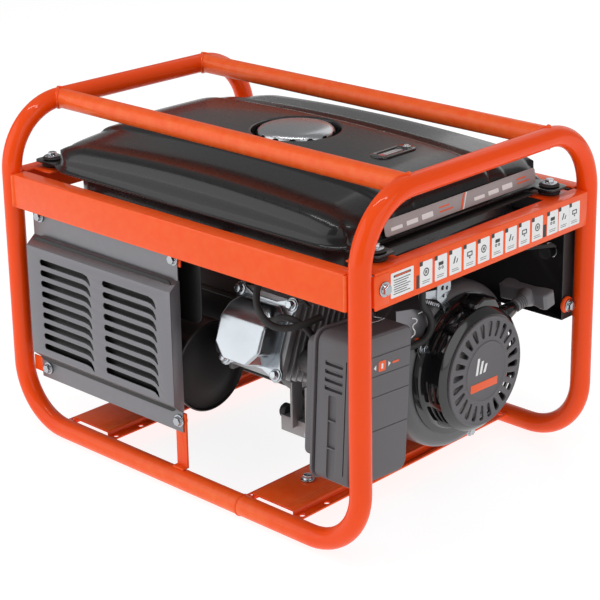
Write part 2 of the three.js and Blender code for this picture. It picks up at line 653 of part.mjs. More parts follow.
add("crankshaft", join(
  rod("x", CRANK_RADIUS, 24, 90, [0, 0, 0], 24),
  rod("x", CRANK_RADIUS, 120, 222, [0, 0, 0], 24),
  ...[[82, 92], [118, 128]].map(([a, b]) =>
    slab("x", roundedRectangle(-24, 24, -44, 34, 14, 2), a, b)),
  rod("x", 13, 90, 120, [0, 0, 24], 16),
), steel(), engine);

add("oil_dipstick", join(
  rod("y", 11, -91, -82 - GAP, [dipstickX, 0, DIPSTICK_Z], 12),
  rod("y", 9 - GAP, -83, -74, [dipstickX, 0, DIPSTICK_Z], 12),
  rod("y", 2.5, -75, -40, [dipstickX, 0, DIPSTICK_Z], 8),
), blackSatin(), engine);

// Finned cylinder and head: the group's own -Y runs along the bore, out of the crankcase.
const top = new THREE.Group();
top.position.set(HEAD_X, 0, -HEAD_DROP);
top.rotation.x = -HEAD_TILT * DEG;
engine.add(top);

function cylinderHead() {
  const half = HEAD_SIZE / 2;
  const flange = -HEAD_REACH + GAP;
  const seat = barrelSeat;
  const parts = [
    block(-38, 38, flange + 4, seat, -38, 38),
    block(-half, half, flange, flange + 9, -half, half),
  ];
  const pitch = (HEAD_REACH + barrelSeat - 14) / FIN_COUNT;
  for (let i = 0; i < FIN_COUNT; i += 1) {
    const y = barrelSeat - 6 - i * pitch;
    parts.push(block(-half, half, y - 1.6, y + 1.6, -half, half));
  }
  return cut(join(...parts), rod("y", BORE_RADIUS, flange + 36, seat + 1, [0, 0, 0], 20));
}
add("cylinder_head", cylinderHead(), castAlloy(), top);

// The stamped rocker cover: a six-cornered cup on a flange with four ears.
function valveCover() {
  const base = -HEAD_REACH - GAP;
  const ears = [[-1, -1], [1, -1], [1, 1], [-1, 1]].map(([sx, sz]) =>
    rod("y", 9, base - 3, base, [sx * COVER_BOLT_HALF, 0, sz * COVER_BOLT_HALF], 14));
  const cup = [
    [-38, -26], [-22, -38], [26, -38], [38, -24], [34, 30], [20, 38], [-24, 38], [-36, 28],
  ];
  const half = COVER_BOLT_HALF;
  const small = cup.map(([u, v]) => [u * 0.93, v * 0.9]);
  const shell = join(
    slab("y", roundedRectangle(-half, half, -half, half, 10, 3), base - 3, base),
    ...ears,
    slab("y", cup, base - COVER_DEPTH + 7, base - 1),
    slab("y", small, base - COVER_DEPTH, base - COVER_DEPTH + 8),
  );
  const inner = cup.map(([u, v]) => [u * 0.86, v * 0.84]);
  const hollow = slab("y", inner, base - COVER_DEPTH + 3, base + 1);
  return cut(shell, hollow);
}
add("valve_cover", valveCover(), zinc(), top);

const plugX = -16;
const plugY = 34 - HEAD_REACH;
const plugTop = HEAD_SIZE / 2 + 14;
add("spark_plug", join(
  rod("z", 7, HEAD_SIZE / 2 + GAP, plugTop, [plugX, plugY, 0], 12),
  rod("z", 10, plugTop - 10, plugTop - 2, [plugX, plugY, 0], 6),
), steel(), top);
add("spark_plug_boot", join(
  rod("z", 9, plugTop + GAP, plugTop + 18, [plugX, plugY, 0], 12),
  rod("y", 6, plugY, plugY + 32, [plugX, 0, plugTop + 12], 10),
), rubber(), top);

// ---- fan housing, flywheel and recoil starter ----------------------------------------------------
function fanHousing() {
  const [r, a, b] = [FAN_HOUSING_RADIUS, FAN_HOUSING_LEFT, FAN_HOUSING_RIGHT];
  const profile = [
    [r - 3, a], [r, a], [r, b - 12], [r - 5, b - 3], [r - 9, b],
    [RECOIL_RADIUS + 8, b], [RECOIL_RADIUS + 8, b - 3], [r - 10, b - 3], [r - 3, b - 12],
  ];
  return turned("x", [...profile, profile[0]], [0, 1, -FAN_HOUSING_DROP], 28);
}
add("fan_housing", fanHousing(), darkGrey(), engine);

function flywheel() {
  const [a, b] = [FAN_HOUSING_LEFT + 6, FAN_HOUSING_LEFT + 36];
  const r = FLYWHEEL_RADIUS;
  const bore = CRANK_RADIUS + GAP;
  const profile = [
    [bore, a], [r, a], [r, b], [r - 14, b], [r - 14, a + 8], [30, a + 8],
    [30, b], [bore, b], [bore, a],
  ];
  const parts = [turned("x", profile)];
  const blades = 8;
  for (let i = 0; i < blades; i += 1) {
    const angle = (i * 360 / blades) * DEG;
    const [c, s] = [Math.cos(angle), Math.sin(angle)];
    const corner = (u, v) => [u * c - v * s, u * s + v * c];
    const outline = [corner(56, -2), corner(r - 1, 3), corner(r - 1, 7), corner(56, 2)];
    const web = [corner(28, -2), corner(r - 12, -2), corner(r - 12, 2), corner(28, 2)];
    parts.push(slab("x", outline, b - 1, b + 14));
    parts.push(slab("x", web, a + 7, a + 12));
  }
  return join(...parts);
}
add("flywheel", flywheel(), castAlloy(), engine);

const recoilBase = FAN_HOUSING_RIGHT + GAP;
const ropeX = 253;
const ropeWrap = PULLEY_RADIUS - 5;
function recoilHousing() {
  const [wide, small, w] = [RECOIL_RADIUS, RECOIL_FACE_RADIUS, RECOIL_WALL];
  const face = RECOIL_FACE_X;
  const profile = [
    [wide - w, recoilBase], [wide + RECOIL_FLANGE, recoilBase],
    [wide + RECOIL_FLANGE, recoilBase + 3],
    [wide, recoilBase + 3], [small + 3, face - 7], [small, face], [0, face],
    [0, recoilBase + 14], [6, recoilBase + 14], [6, face - w], [small - 3, face - w],
    [small - 1, face - 8], [wide - w, recoilBase + 2],
  ];
  let shell = turned("x", [...profile, profile[0]], [0, 0, 0], 28);
  for (let i = 0; i < RECOIL_SLOTS; i += 1) {
    const angle = ((i + 0.5) * 360 / RECOIL_SLOTS) * DEG;
    const [c, s] = [Math.cos(angle), Math.sin(angle)];
    const corner = (u, v) => [u * c - v * s, u * s + v * c];
    const outline = [corner(43, -2), corner(small - 7, -3.4), corner(small - 7, 3.4), corner(43, 2)];
    shell = cut(shell, slab("x", outline, face - w - 1, face + 1));
  }
  const guide = rod("y", 9, 62, 84, [ropeX, 0, 0], 12);
  const bore = rod("y", ROPE_RADIUS + 1, 20, 90, [ropeX, 0, 0], 10);
  return cut(join(shell, tiltedAlongRope(guide)), tiltedAlongRope(bore));
}
// Turns a solid made along +Y from the rope's tangent point up by the rope's rise.
function tiltedAlongRope(body) {
  return body.translate([0, 0, ropeWrap]).rotate([ROPE_RISE, 0, 0]);
}
add("recoil_housing", recoilHousing(), blackGloss(), engine);

function pulley() {
  const r = PULLEY_RADIUS;
  const [a, b] = [recoilBase + 8, recoilBase + 26];
  const bore = 6 + GAP;
  const profile = [
    [bore, a], [r, a], [r, a + 2.5], [r - 9, a + 5], [r - 9, b - 5],
    [r, b - 2.5], [r, b], [bore, b], [bore, a],
  ];
  return cut(turned("x", profile, [0, 0, 0], 28), block(a - 1, a + 3, -24, -18, -6, 6));
}
add("starter_pulley", pulley(), plastic(), engine);

const ropeEnd = HANDLE_REACH - 34;
const ropeCoil = [
  [ropeWrap - 3, ropeX - 3], [ropeWrap + 3, ropeX - 3], [ropeWrap + 3, ropeX + 3],
  [ropeWrap - 3, ropeX + 3], [ropeWrap - 3, ropeX - 3],
];
add("starter_rope", join(
  turned("x", ropeCoil, [0, 0, 0], 28),
  tiltedAlongRope(rod("y", ROPE_RADIUS, 0, ropeEnd, [ropeX, 0, 0], 8)),
), cream(), engine);

add("starter_handle", tiltedAlongRope(join(
  rod("y", 5, ropeEnd + GAP, HANDLE_REACH - 4, [ropeX, 0, 0], 12, 8),
  slab("y", roundedRectangle(ropeX - 41, ropeX + 29, -9, 9, 7, 3), HANDLE_REACH - 8, HANDLE_REACH + 8),
)), blackSatin(), engine);

// ---- carburettor, air filter and controls ---------------------------------------------------------
const carbX = 170;
add("carburettor", join(
  rod("x", 15, HEAD_X + HEAD_SIZE / 2 + GAP, 192, [0, -150, 22], 16),
  block(carbX - 16, carbX + 14, -168, -130, 0, 46),
  rod("z", 15, -26, 4, [carbX, -149, 0], 16),
  rod("z", 4, -34, -24, [carbX, -149, 0], 8),
), castAlloy(), engine);

add("throttle_lever", join(
  rod("z", 4, 46 + GAP, 58, [carbX - 8, -140, 0], 10),
  block(carbX - 12, carbX - 4, -142, -96, 54, 56.5),
), zinc(), engine);

// The filter leans a little, so its group is turned about X.
const filter = new THREE.Group();
filter.position.set(FILTER_SPLIT_X, -176, 11);
filter.rotation.x = -FILTER_TILT * DEG;
engine.add(filter);
const [filterHalf, filterTop] = [FILTER_WIDTH / 2, FILTER_HEIGHT / 2];
// The filter case's outline, drawn in by one amount at the sides and top and another at the bottom.
function filterOutline(sides, top, bottom, radius) {
  const half = filterHalf - sides;
  return roundedRectangle(-half, half, bottom - filterTop, filterTop - top, radius, 3);
}

add("air_filter_base", cut(
  join(
    slab("x", filterOutline(0, 0, 0, 12), -6, -GAP),
    slab("x", filterOutline(6, 12, 20, 10), -20, -5),
  ),
  rod("x", 13, -22, 1, [0, 20, 12], 16),
  slab("x", filterOutline(9, 15, 23, 8), -17, 1),
), plastic(), filter);
add("air_filter_element", cut(
  slab("x", filterOutline(12, 18, 26, 8), GAP, FILTER_COVER_DEPTH - 8),
  slab("x", filterOutline(26, 32, 40, 6), -1, FILTER_COVER_DEPTH - 16),
), cream(), filter);
function filterCover() {
  const depth = FILTER_COVER_DEPTH;
  const room = filterOutline(FILTER_WALL, FILTER_WALL, FILTER_WALL, 10);
  return cut(slab("x", filterOutline(0, 0, 0, 12), GAP, depth), slab("x", room, -1, depth - FILTER_WALL));
}
add("air_filter_cover", filterCover(), plastic(), filter);
for (const [name, side] of [["filter_clip_top", 1], ["filter_clip_bottom", -1]]) {
  const edge = side * (filterTop + GAP + 0.2);
  const away = edge + side * 2.2;
  const span = sorted(edge, away);
  const hook = join(
    block(-6, FILTER_COVER_DEPTH / 2, -14, -11.5, ...span),
    block(-6, FILTER_COVER_DEPTH / 2, 11.5, 14, ...span),
    block(FILTER_COVER_DEPTH / 2 - 3, FILTER_COVER_DEPTH / 2, -14, 14, ...span),
    block(-6, -3.5, -14, 14, ...span),
  );
  add(name, hook, zinc(), filter);
}
add("choke_lever", join(
  rod("x", 5, 214 - 20 - 9, 214 - 20 - GAP, [0, -112, 40], 12),
  slab("x", [[-116, 40], [-108, 40], [-96, 78], [-104, 80]], 214 - 20 - 7, 214 - 20 - 4),
), steel(), engine);

// ---- exhaust ----------------------------------------------------------------------------------------
const pipeY = MUFFLER_Y + 20;
const pipeZ = MUFFLER_Z + 22;
function muffler() {
  const [r, b] = [MUFFLER_RADIUS, MUFFLER_RIGHT_X];
  const a = b - MUFFLER_LENGTH;
  const at = [0, MUFFLER_Y, MUFFLER_Z];
  const skin = [
    [0, a + 3], [r - 6, a + 3], [r, a], [r + 2, a], [r + 2, a + 3], [r, a + 5],
    [r, b - 5], [r + 2, b - 3], [r + 2, b], [r, b], [r - 6, b - 3], [0, b - 3],
  ];
  const room = [[0, a + 6], [r - 4, a + 6], [r - 4, b - 6], [0, b - 6]];
  const outlet = rod("z", 9, MUFFLER_Z - r - 6, MUFFLER_Z - r + 10, [a + 30, MUFFLER_Y, 0], 12);
  const inlet = rod("x", PIPE_RADIUS + GAP, b - 12, b + 2, [0, pipeY, pipeZ], 16);
  return cut(turned("x", skin, at), turned("x", room, at), outlet, inlet);
}
add("muffler", muffler(), blackGloss());
const portX = HEAD_X - HEAD_SIZE / 2 - GAP;
add("exhaust_pipe", cut(
  join(
    rod("x", PIPE_RADIUS, MUFFLER_RIGHT_X - 8, portX, [0, pipeY, pipeZ], 16),
    block(portX - 6, portX, pipeY - 20, pipeY + 20, pipeZ - 16, pipeZ + 16),
  ),
  rod("x", PIPE_RADIUS - 2, MUFFLER_RIGHT_X - 9, portX + 1, [0, pipeY, pipeZ], 16),
), steel());

// ---- alternator -----------------------------------------------------------------------------------
function alternatorHousing() {
  const [r, a, b] = [ALTERNATOR_RADIUS, ALTERNATOR_LEFT, ALTERNATOR_RIGHT];
  const profile = [
    [r - 5, a], [r, a], [r, b - 30], [r + 6, b - 22], [r + 6, b],
    [70, b], [70, b - 6], [r - 5, b - 24], [r - 5, a],
  ];
  return turned("x", profile);
}
add("alternator_housing", alternatorHousing(), castAlloy(), engine);
add("alternator_stator", turned("x", [
  [STATOR_BORE, ALTERNATOR_LEFT + 20], [ALTERNATOR_RADIUS - 5 - GAP, ALTERNATOR_LEFT + 20],
  [ALTERNATOR_RADIUS - 5 - GAP, ALTERNATOR_RIGHT - 70], [STATOR_BORE, ALTERNATOR_RIGHT - 70],
  [STATOR_BORE, ALTERNATOR_LEFT + 20],
]), copper(), engine);
function endCover() {
  const [r, a, b] = [ALTERNATOR_RADIUS, END_COVER_LEFT, ALTERNATOR_LEFT - GAP];
  const [bore, boss] = [CRANK_RADIUS + 2 + GAP, CRANK_RADIUS + 8];
  const shell = turned("x", [
    [bore, a + 4], [r - 16, a], [r, a + 12], [r, b], [r - 4, b], [r - 4, a + 14],
    [r - 18, a + 5], [boss, a + 9], [boss, b - 14], [bore, b - 14], [bore, a + 4],
  ]);
  const footX = ALTERNATOR_CHANNEL_X;
  const foot = join(
    block(footX - 40, footX + 22, footY[0] - 17, footY[1] + 17, -CRANK_RISE, -CRANK_RISE + 5),
    block(b - 20, b, -50, 50, -CRANK_RISE + 4, -r + 6),
  );
  const clear = rod("x", r - 4, b - 22, b + 30, [0, 0, 0], 24);
  const bolts = footY.map((y) => rod("z", 5, -CRANK_RISE - 1, -CRANK_RISE + 8, [footX, y, 0], 12));
  return cut(join(shell, cut(foot, clear)), ...bolts);
}
add("alternator_end_cover", endCover(), castAlloy(), engine);
add("alternator_rotor", join(
  rod("x", CRANK_RADIUS, END_COVER_LEFT + 6, 24 - GAP, [0, 0, 0], 24),
  slab("x", [
    [-22, -48], [22, -48], [30, -42], [22, -28], [22, 28], [30, 42], [22, 48], [-22, 48],
    [-30, 42], [-22, 28], [-22, -28], [-30, -42],
  ], ALTERNATOR_LEFT + 22, ALTERNATOR_RIGHT - 72),
), copper(), engine);

// ---- control panel ----------------------------------------------------------------------------------
const panelTop = BELT_BOTTOM - GAP;
const panelRight = POST_X - TUBE_RADIUS - PANEL_RIGHT_GAP;
const panelLeft = panelRight - PANEL_LENGTH;
const panelFace = RAIL_Y + 6;
const panelMid = panelTop - PANEL_HEIGHT / 2;
const switchX = panelRight - 40;
const breakerX = panelRight - 82;
const socketX = [panelRight - 135, panelRight - 205];
const meterX = panelLeft + 60;
const panelHoles = [
  [switchX, panelMid + 12, 9],
  [breakerX, panelMid + 12, 7],
  ...socketX.map((x) => [x, panelMid, SOCKET_RADIUS]),
  [meterX, panelMid + 8, METER_RADIUS],
];
function controlPanel() {
  const [y0, y1] = [panelFace - PANEL_DEPTH, panelFace];
  const t = PANEL_SHEET;
  const pan = cut(
    block(panelLeft, panelRight, y0, y1, panelTop - PANEL_HEIGHT, panelTop),
    block(panelLeft + t, panelRight - t, y0 - 1, y1 - t, panelTop - PANEL_HEIGHT + t, panelTop - t),
  );
  const holes = panelHoles.map(([x, z, r]) => rod("y", r + GAP, y1 - 3, y1 + 1, [x, 0, z], 20));
  return cut(pan, ...holes);
}
add("control_panel", controlPanel(), blackSatin());
socketX.forEach((x, i) => {
  const plan = roundedRectangle(x - 26, x + 26, panelMid - 26, panelMid + 26, 6, 2);
  const socket = join(
    rod("y", SOCKET_RADIUS, panelFace - 22, panelFace + 0.6, [x, 0, panelMid], 20),
    slab("y", plan, panelFace + GAP, panelFace + 5),
  );
  const well = rod("y", 18, panelFace - 9, panelFace + 6, [x, 0, panelMid], 20);
  const pins = [-9.5, 9.5].map((dx) => {
    return rod("y", 2.5, panelFace - 18, panelFace - 8, [x + dx, 0, panelMid], 8);
  });
  add(i === 0 ? "socket_right" : "socket_left", cut(socket, well, ...pins), blackSatin());
});
const meterPlan = roundedRectangle(meterX - 26, meterX + 26, panelMid - 18, panelMid + 34, 4, 2);
add("voltmeter", join(
  rod("y", METER_RADIUS, panelFace - 26, panelFace + 0.6, [meterX, 0, panelMid + 8], 20),
  slab("y", meterPlan, panelFace + GAP, panelFace + 6),
), blackSatin());
add("engine_switch", join(
  rod("y", 9, panelFace - 14, panelFace + 3, [switchX, 0, panelMid + 12], 16),
  block(switchX - 2.5, switchX + 2.5, panelFace + 2, panelFace + 6, panelMid + 4, panelMid + 20),
), red());
const breaker = rod("y", 6.5, panelFace - 16, panelFace + 5, [breakerX, 0, panelMid + 12], 16);
add("breaker_button", breaker, blackSatin());

export default generator;
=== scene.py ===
import json
import math

import bpy
from mathutils import Matrix, Vector


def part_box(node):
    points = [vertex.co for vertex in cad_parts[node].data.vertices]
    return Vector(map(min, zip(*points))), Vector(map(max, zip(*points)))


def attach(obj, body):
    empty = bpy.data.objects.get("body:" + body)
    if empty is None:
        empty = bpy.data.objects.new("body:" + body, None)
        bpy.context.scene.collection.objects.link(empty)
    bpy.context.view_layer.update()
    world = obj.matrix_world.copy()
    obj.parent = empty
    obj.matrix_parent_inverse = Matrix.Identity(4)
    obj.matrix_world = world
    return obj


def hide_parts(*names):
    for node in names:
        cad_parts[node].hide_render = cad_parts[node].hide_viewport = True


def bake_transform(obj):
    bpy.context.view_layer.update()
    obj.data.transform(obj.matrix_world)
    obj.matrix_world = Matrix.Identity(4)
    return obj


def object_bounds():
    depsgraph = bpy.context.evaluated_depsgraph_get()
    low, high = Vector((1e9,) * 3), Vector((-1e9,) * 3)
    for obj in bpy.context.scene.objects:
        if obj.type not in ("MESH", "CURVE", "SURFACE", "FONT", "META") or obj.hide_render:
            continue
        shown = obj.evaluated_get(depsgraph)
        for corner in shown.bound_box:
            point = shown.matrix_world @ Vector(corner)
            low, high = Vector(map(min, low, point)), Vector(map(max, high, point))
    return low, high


bl_info = {
    "name": "Portable Generator",
    "version": (1, 0, 0),
    "blender": (4, 5, 0),
    "location": "3D View > Sidebar > Generator",
    "description": "Models the outside of a frame-mounted portable generator round its mechanism",
    "category": "Add Mesh",
}

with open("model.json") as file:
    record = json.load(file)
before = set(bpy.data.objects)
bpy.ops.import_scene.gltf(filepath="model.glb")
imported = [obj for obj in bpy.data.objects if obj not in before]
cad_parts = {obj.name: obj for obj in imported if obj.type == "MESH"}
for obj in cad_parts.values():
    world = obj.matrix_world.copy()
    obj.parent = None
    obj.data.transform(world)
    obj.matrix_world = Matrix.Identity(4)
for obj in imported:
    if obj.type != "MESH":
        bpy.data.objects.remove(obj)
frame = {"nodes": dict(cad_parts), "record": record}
cad_box = [list(corner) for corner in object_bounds()]
MM = 0.001
DEG = math.pi / 180


# ---- sizes and colours ---------------------------------------------------------------------------
def length(name, text, default_mm):
    return bpy.props.FloatProperty(
        name=name, description=text, default=default_mm * MM, min=0, unit="LENGTH", precision=4)


def colour(name, text, default):
    return bpy.props.FloatVectorProperty(
        name=name, description=text, default=default, size=3, min=0, max=1, subtype="COLOR")


class GeneratorSizes(bpy.types.PropertyGroup):
    """Sizes of the details that the mechanism does not fix"""
    lower_bend: length("Lower bend", "Radius of the bends at the floor", 75)
    upper_bend: length("Upper bend", "Radius of the bends at the top bars", 80)
    edge: length("Sheet edge", "Rounding of a pressed sheet's edge", 0.7)
    weld: length("Weld bead", "Thickness of a weld bead", 2.2)
    louvre_lip: length("Louvre lip", "Thickness of the rolled lip over a louvre's slot", 1.0)
    hose: length("Hose radius", "Radius of the rubber hoses", 4)


class GeneratorColours(bpy.types.PropertyGroup):
    """Colours of the finishes"""
    frame_paint: colour("Frame", "Powder coat of the tube frame", (0.90, 0.068, 0.001))
    tank_paint: colour("Tank", "Satin paint of the tank", (0.006, 0.006, 0.007))
    guard_paint: colour("Guard", "Paint of the louvred guard", (0.19, 0.185, 0.20))
    filter_plastic: colour("Air filter", "Moulded filter case", (0.105, 0.10, 0.108))
    fan_paint: colour("Fan housing", "Paint of the fan housing", (0.085, 0.083, 0.088))
    cast_alloy: colour("Castings", "Bare cast alloy", (0.30, 0.30, 0.31))
    label: colour("Labels", "Paper white of the labels", (0.80, 0.80, 0.80))


# ---- selecting, making and finishing meshes ------------------------------------------------------
def deselect():
    if bpy.context.object and bpy.context.object.mode != "OBJECT":
        bpy.ops.object.mode_set(mode="OBJECT")
    bpy.ops.object.select_all(action="DESELECT")


def select(*objects):
    deselect()
    for piece in objects:
        piece.select_set(True)
    bpy.context.view_layer.objects.active = objects[0]
    return objects[0]


def settle(piece):
    """Moves a piece's place, turn and size into its mesh."""
    select(piece)
    bpy.ops.object.transform_apply(location=True, rotation=True, scale=True)
    return piece


def apply_modifiers(piece):
    select(piece)
    for modifier in list(piece.modifiers):
        bpy.ops.object.modifier_apply(modifier=modifier.name)
    return piece


def smooth(piece, angle=35):
    select(piece)
    bpy.ops.object.shade_smooth_by_angle(angle=angle * DEG)
    return piece


def round_edges(piece, width, segments=2, angle=30):
    bevel = piece.modifiers.new("Round", "BEVEL")
    bevel.width = width * MM
    bevel.segments = segments
    bevel.limit_method = "ANGLE"
    bevel.angle_limit = angle * DEG
    bevel.use_clamp_overlap = True
    bevel.harden_normals = False
    return apply_modifiers(piece)


def join(*pieces):
    if len(pieces) > 1:
        select(*pieces)
        bpy.ops.object.join()
    return pieces[0]


def cut(piece, *tools, operation="DIFFERENCE"):
    tool = join(*tools)
    boolean = piece.modifiers.new("Cut", "BOOLEAN")
    boolean.operation = operation
    boolean.solver = "EXACT"
    boolean.object = tool
    apply_modifiers(piece)
    bpy.data.objects.remove(tool)
    return piece


def copied(piece, turn=Matrix.Identity(4)):
    twin = piece.copy()
    twin.data = piece.data.copy()
    twin.data.transform(turn)
    bpy.context.scene.collection.objects.link(twin)
    return twin


def face_outwards(piece, merge=0.00001):
    select(piece)
    bpy.ops.object.mode_set(mode="EDIT")
    bpy.ops.mesh.select_all(action="SELECT")
    bpy.ops.mesh.remove_doubles(threshold=merge)
    bpy.ops.mesh.normals_make_consistent(inside=False)
    bpy.ops.object.mode_set(mode="OBJECT")
    return piece


# Every place and size below is in millimetres; the mesh is made in metres.
def block(low, high, edge=0.0, segments=2):
    """A box between two corners, with its edges rounded."""
    low, high = Vector(low) * MM, Vector(high) * MM
    deselect()
    bpy.ops.mesh.primitive_cube_add(size=1, location=(low + high) / 2)
    piece = bpy.context.object
    piece.scale = high - low
    settle(piece)
    return smooth(round_edges(piece, edge, segments)) if edge else piece


AXES = {"x": Vector((1, 0, 0)), "y": Vector((0, 1, 0)), "z": Vector((0, 0, 1))}


def rod(start, end, radius, edge=0.0, sides=32, end_radius=None):
    """A round bar or cone between two points."""
    start, end = Vector(start) * MM, Vector(end) * MM
    run = end - start
    deselect()
    bpy.ops.mesh.primitive_cone_add(
        vertices=sides, radius1=radius * MM, radius2=(radius if end_radius is None else end_radius) * MM,
        depth=run.length, location=(start + end) / 2,
        rotation=run.to_track_quat("Z", "Y").to_euler())
    piece = settle(bpy.context.object)
    if edge:
        round_edges(piece, edge, 2, 40)
    return smooth(piece)


def across(axis):
    """The turn that lays an outline drawn in (u, v) across an axis: x takes (y, z), y (x, z), z (x, y)."""
    u, v = {"x": ("y", "z"), "y": ("x", "z"), "z": ("x", "y")}[axis]
    return Matrix((AXES[u], AXES[v], AXES[u].cross(AXES[v]))).transposed().to_4x4()


def plate(outlines, axis, start, end, edge=0.0, resolution=2):
    """A plate across an axis between two distances; the outlines after the first are holes."""
    data = bpy.data.curves.new("outline", "CURVE")
    data.dimensions = "2D"
    data.fill_mode = "BOTH"
    data.extrude = (end - start) / 2 * MM - edge * MM
    data.bevel_depth = edge * MM
    data.bevel_resolution = resolution
    data.offset = -edge * MM
    for outline in outlines:
        spline = data.splines.new("POLY")
        spline.points.add(len(outline) - 1)
        for point, (u, v) in zip(spline.points, outline):
            point.co = (u * MM, v * MM, 0, 1)
        spline.use_cyclic_u = True
    piece = bpy.data.objects.new("plate", data)
    bpy.context.scene.collection.objects.link(piece)
    select(piece)
    bpy.ops.object.convert(target="MESH")
    piece = bpy.context.object
    middle = AXES[axis] * ((start + end) / 2 * MM)
    piece.data.transform(Matrix.Translation(middle) @ across(axis))
    return smooth(face_outwards(piece))


def turned(profile, axis, at=(0, 0, 0), steps=64):
    """A lathe piece: the profile is a closed loop of (radius, distance along the axis)."""
    data = bpy.data.meshes.new("profile")
    points = [(r * MM, 0, d * MM) for r, d in profile]
    edges = [(i, i + 1) for i in range(len(points) - 1)]
    if profile[0][0] > 0 or profile[-1][0] > 0:
        edges.append((len(points) - 1, 0))
    data.from_pydata(points, edges, [])
    piece = bpy.data.objects.new("turned", data)
    bpy.context.scene.collection.objects.link(piece)
    select(piece)
    bpy.ops.object.mode_set(mode="EDIT")
    bpy.ops.mesh.select_all(action="SELECT")
    bpy.ops.mesh.spin(steps=steps, angle=2 * math.pi, center=(0, 0, 0), axis=(0, 0, 1))
    bpy.ops.object.mode_set(mode="OBJECT")
    face_outwards(piece)
    turn = AXES["z"].rotation_difference(AXES[axis]).to_matrix().to_4x4()
    piece.data.transform(Matrix.Translation(Vector(at) * MM) @ turn)
    return smooth(piece)


def tube(points, radius, sides=6, closed=False, curved=False):
    """A round wire, hose or tube along points; sides is a quarter of the facets round it."""
    data = bpy.data.curves.new("path", "CURVE")
    data.dimensions = "3D"
    data.bevel_depth = radius * MM
    data.bevel_resolution = sides
    data.use_fill_caps = True
    if curved:
        spline = data.splines.new("BEZIER")
        spline.bezier_points.add(len(points) - 1)
        for knot, point in zip(spline.bezier_points, points):
            knot.co = Vector(point) * MM
            knot.handle_left_type = knot.handle_right_type = "AUTO"
        spline.resolution_u = 8
    else:
        spline = data.splines.new("POLY")
        spline.points.add(len(points) - 1)
        for knot, point in zip(spline.points, points):
            knot.co = (*(Vector(point) * MM), 1)
    spline.use_cyclic_u = closed
    piece = bpy.data.objects.new("tube", data)
    bpy.context.scene.collection.objects.link(piece)
    select(piece)
    bpy.ops.object.convert(target="MESH")
    return smooth(face_outwards(bpy.context.object), 50)


def arc(centre, start, end, radius, steps, u=AXES["x"], v=AXES["z"]):
    """Points on an arc in the plane of two directions, between two angles in degrees."""
    angles = [(start + (end - start) * i / steps) * DEG for i in range(steps + 1)]
    return [Vector(centre) + u * (radius * math.cos(a)) + v * (radius * math.sin(a)) for a in angles]


def rounded(u0, u1, v0, v1, radius, steps=6):
    """The outline of a rectangle with rounded corners."""
    corners = ((u1 - radius, v0 + radius, -90), (u1 - radius, v1 - radius, 0),
               (u0 + radius, v1 - radius, 90), (u0 + radius, v0 + radius, 180))
    return [(u + radius * math.cos((start + 90 * i / steps) * DEG),
             v + radius * math.sin((start + 90 * i / steps) * DEG))
            for u, v, start in corners for i in range(steps + 1)]


def circle(u, v, radius, steps=24):
    turn = 2 * math.pi / steps
    return [(u + radius * math.cos(turn * i), v + radius * math.sin(turn * i)) for i in range(steps)]


def box(part):
    """A mechanism part's corners in millimetres."""
    return [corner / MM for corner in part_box(part)]


def hexagon(size):
    return [(size * math.cos(i * 60 * DEG), size * math.sin(i * 60 * DEG)) for i in range(6)]


def bolts(places, size=5.8, height=4.5, washer=8.0, washer_height=1.4):
    """Flanged hexagon bolts at ((x, y, z), outward direction), joined in one piece."""
    head = plate([hexagon(size)], "z", washer_height - 0.2, washer_height + height, 0.7)
    disc = rod((0, 0, 0), (0, 0, washer_height), washer, 0.35, 28)
    dome = rod((0, 0, washer_height), (0, 0, washer_height + height * 0.35), size * 1.05, 0.3, 24,
               size * 0.85)
    first = join(head, disc, dome)
    made = []
    for place, direction in places:
        turn = AXES["z"].rotation_difference(Vector(direction).normalized()).to_matrix().to_4x4()
        made.append(copied(first, Matrix.Translation(Vector(place) * MM) @ turn))
    bpy.data.objects.remove(first)
    return smooth(join(*made))


def moved(piece, *turns):
    """Applies matrices to a piece's mesh, the last one first."""
    for turn in reversed(turns):
        piece.data.transform(turn)
    return piece


def shift(x, y, z):
    return Matrix.Translation((x * MM, y * MM, z * MM))


def lean(degrees, axis="X"):
    return Matrix.Rotation(degrees * DEG, 4, axis)


# Frames of the engine's leaning pieces: the cylinder on the crankcase, and the air filter.
ENGINE = shift(0, 31, 152.5)
HEAD = ENGINE @ shift(84.5, 0, -12) @ lean(-20)
FILTER = ENGINE @ shift(214, -176, 11) @ lean(-3.5)


def refined(node, edge=0.6, angle=30, segments=2):
    """A copy of a mechanism part with its corners merged and its edges rounded."""
    source = frame["nodes"][node]
    piece = copied(source)
    piece.parent = None
    for key in list(piece.keys()):
        del piece[key]
    piece.data.materials.clear()
    select(piece)
    bpy.ops.object.mode_set(mode="EDIT")
    bpy.ops.mesh.select_all(action="SELECT")
    bpy.ops.mesh.remove_doubles(threshold=0.00001)
    bpy.ops.mesh.dissolve_limited(angle_limit=1 * DEG)
    bpy.ops.object.mode_set(mode="OBJECT")
    if edge:
        round_edges(piece, edge, segments, angle)
    return smooth(piece, 40)


def show(piece, name, finish, body="root", replaces=()):
    """Names a finished piece, gives it its material and hangs it on its body."""
    piece.name = name
    piece.data.name = name
    piece.data.materials.clear()
    piece.data.materials.append(finish)
    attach(piece, body)
    if replaces:
        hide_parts(*replaces)
    return piece


# ---- materials -----------------------------------------------------------------------------------
def group(name, inputs, outputs):
    """A shader node group with named sockets: each is (name, kind, default)."""
    tree = bpy.data.node_groups.new(name, "ShaderNodeTree")
    for label, kind, default in inputs:
        socket = tree.interface.new_socket(label, in_out="INPUT", socket_type="NodeSocket" + kind)
        if default is not None:
            socket.default_value = default
    for label, kind in outputs:
        tree.interface.new_socket(label, in_out="OUTPUT", socket_type="NodeSocket" + kind)
    return tree, tree.nodes.new("NodeGroupInput"), tree.nodes.new("NodeGroupOutput")


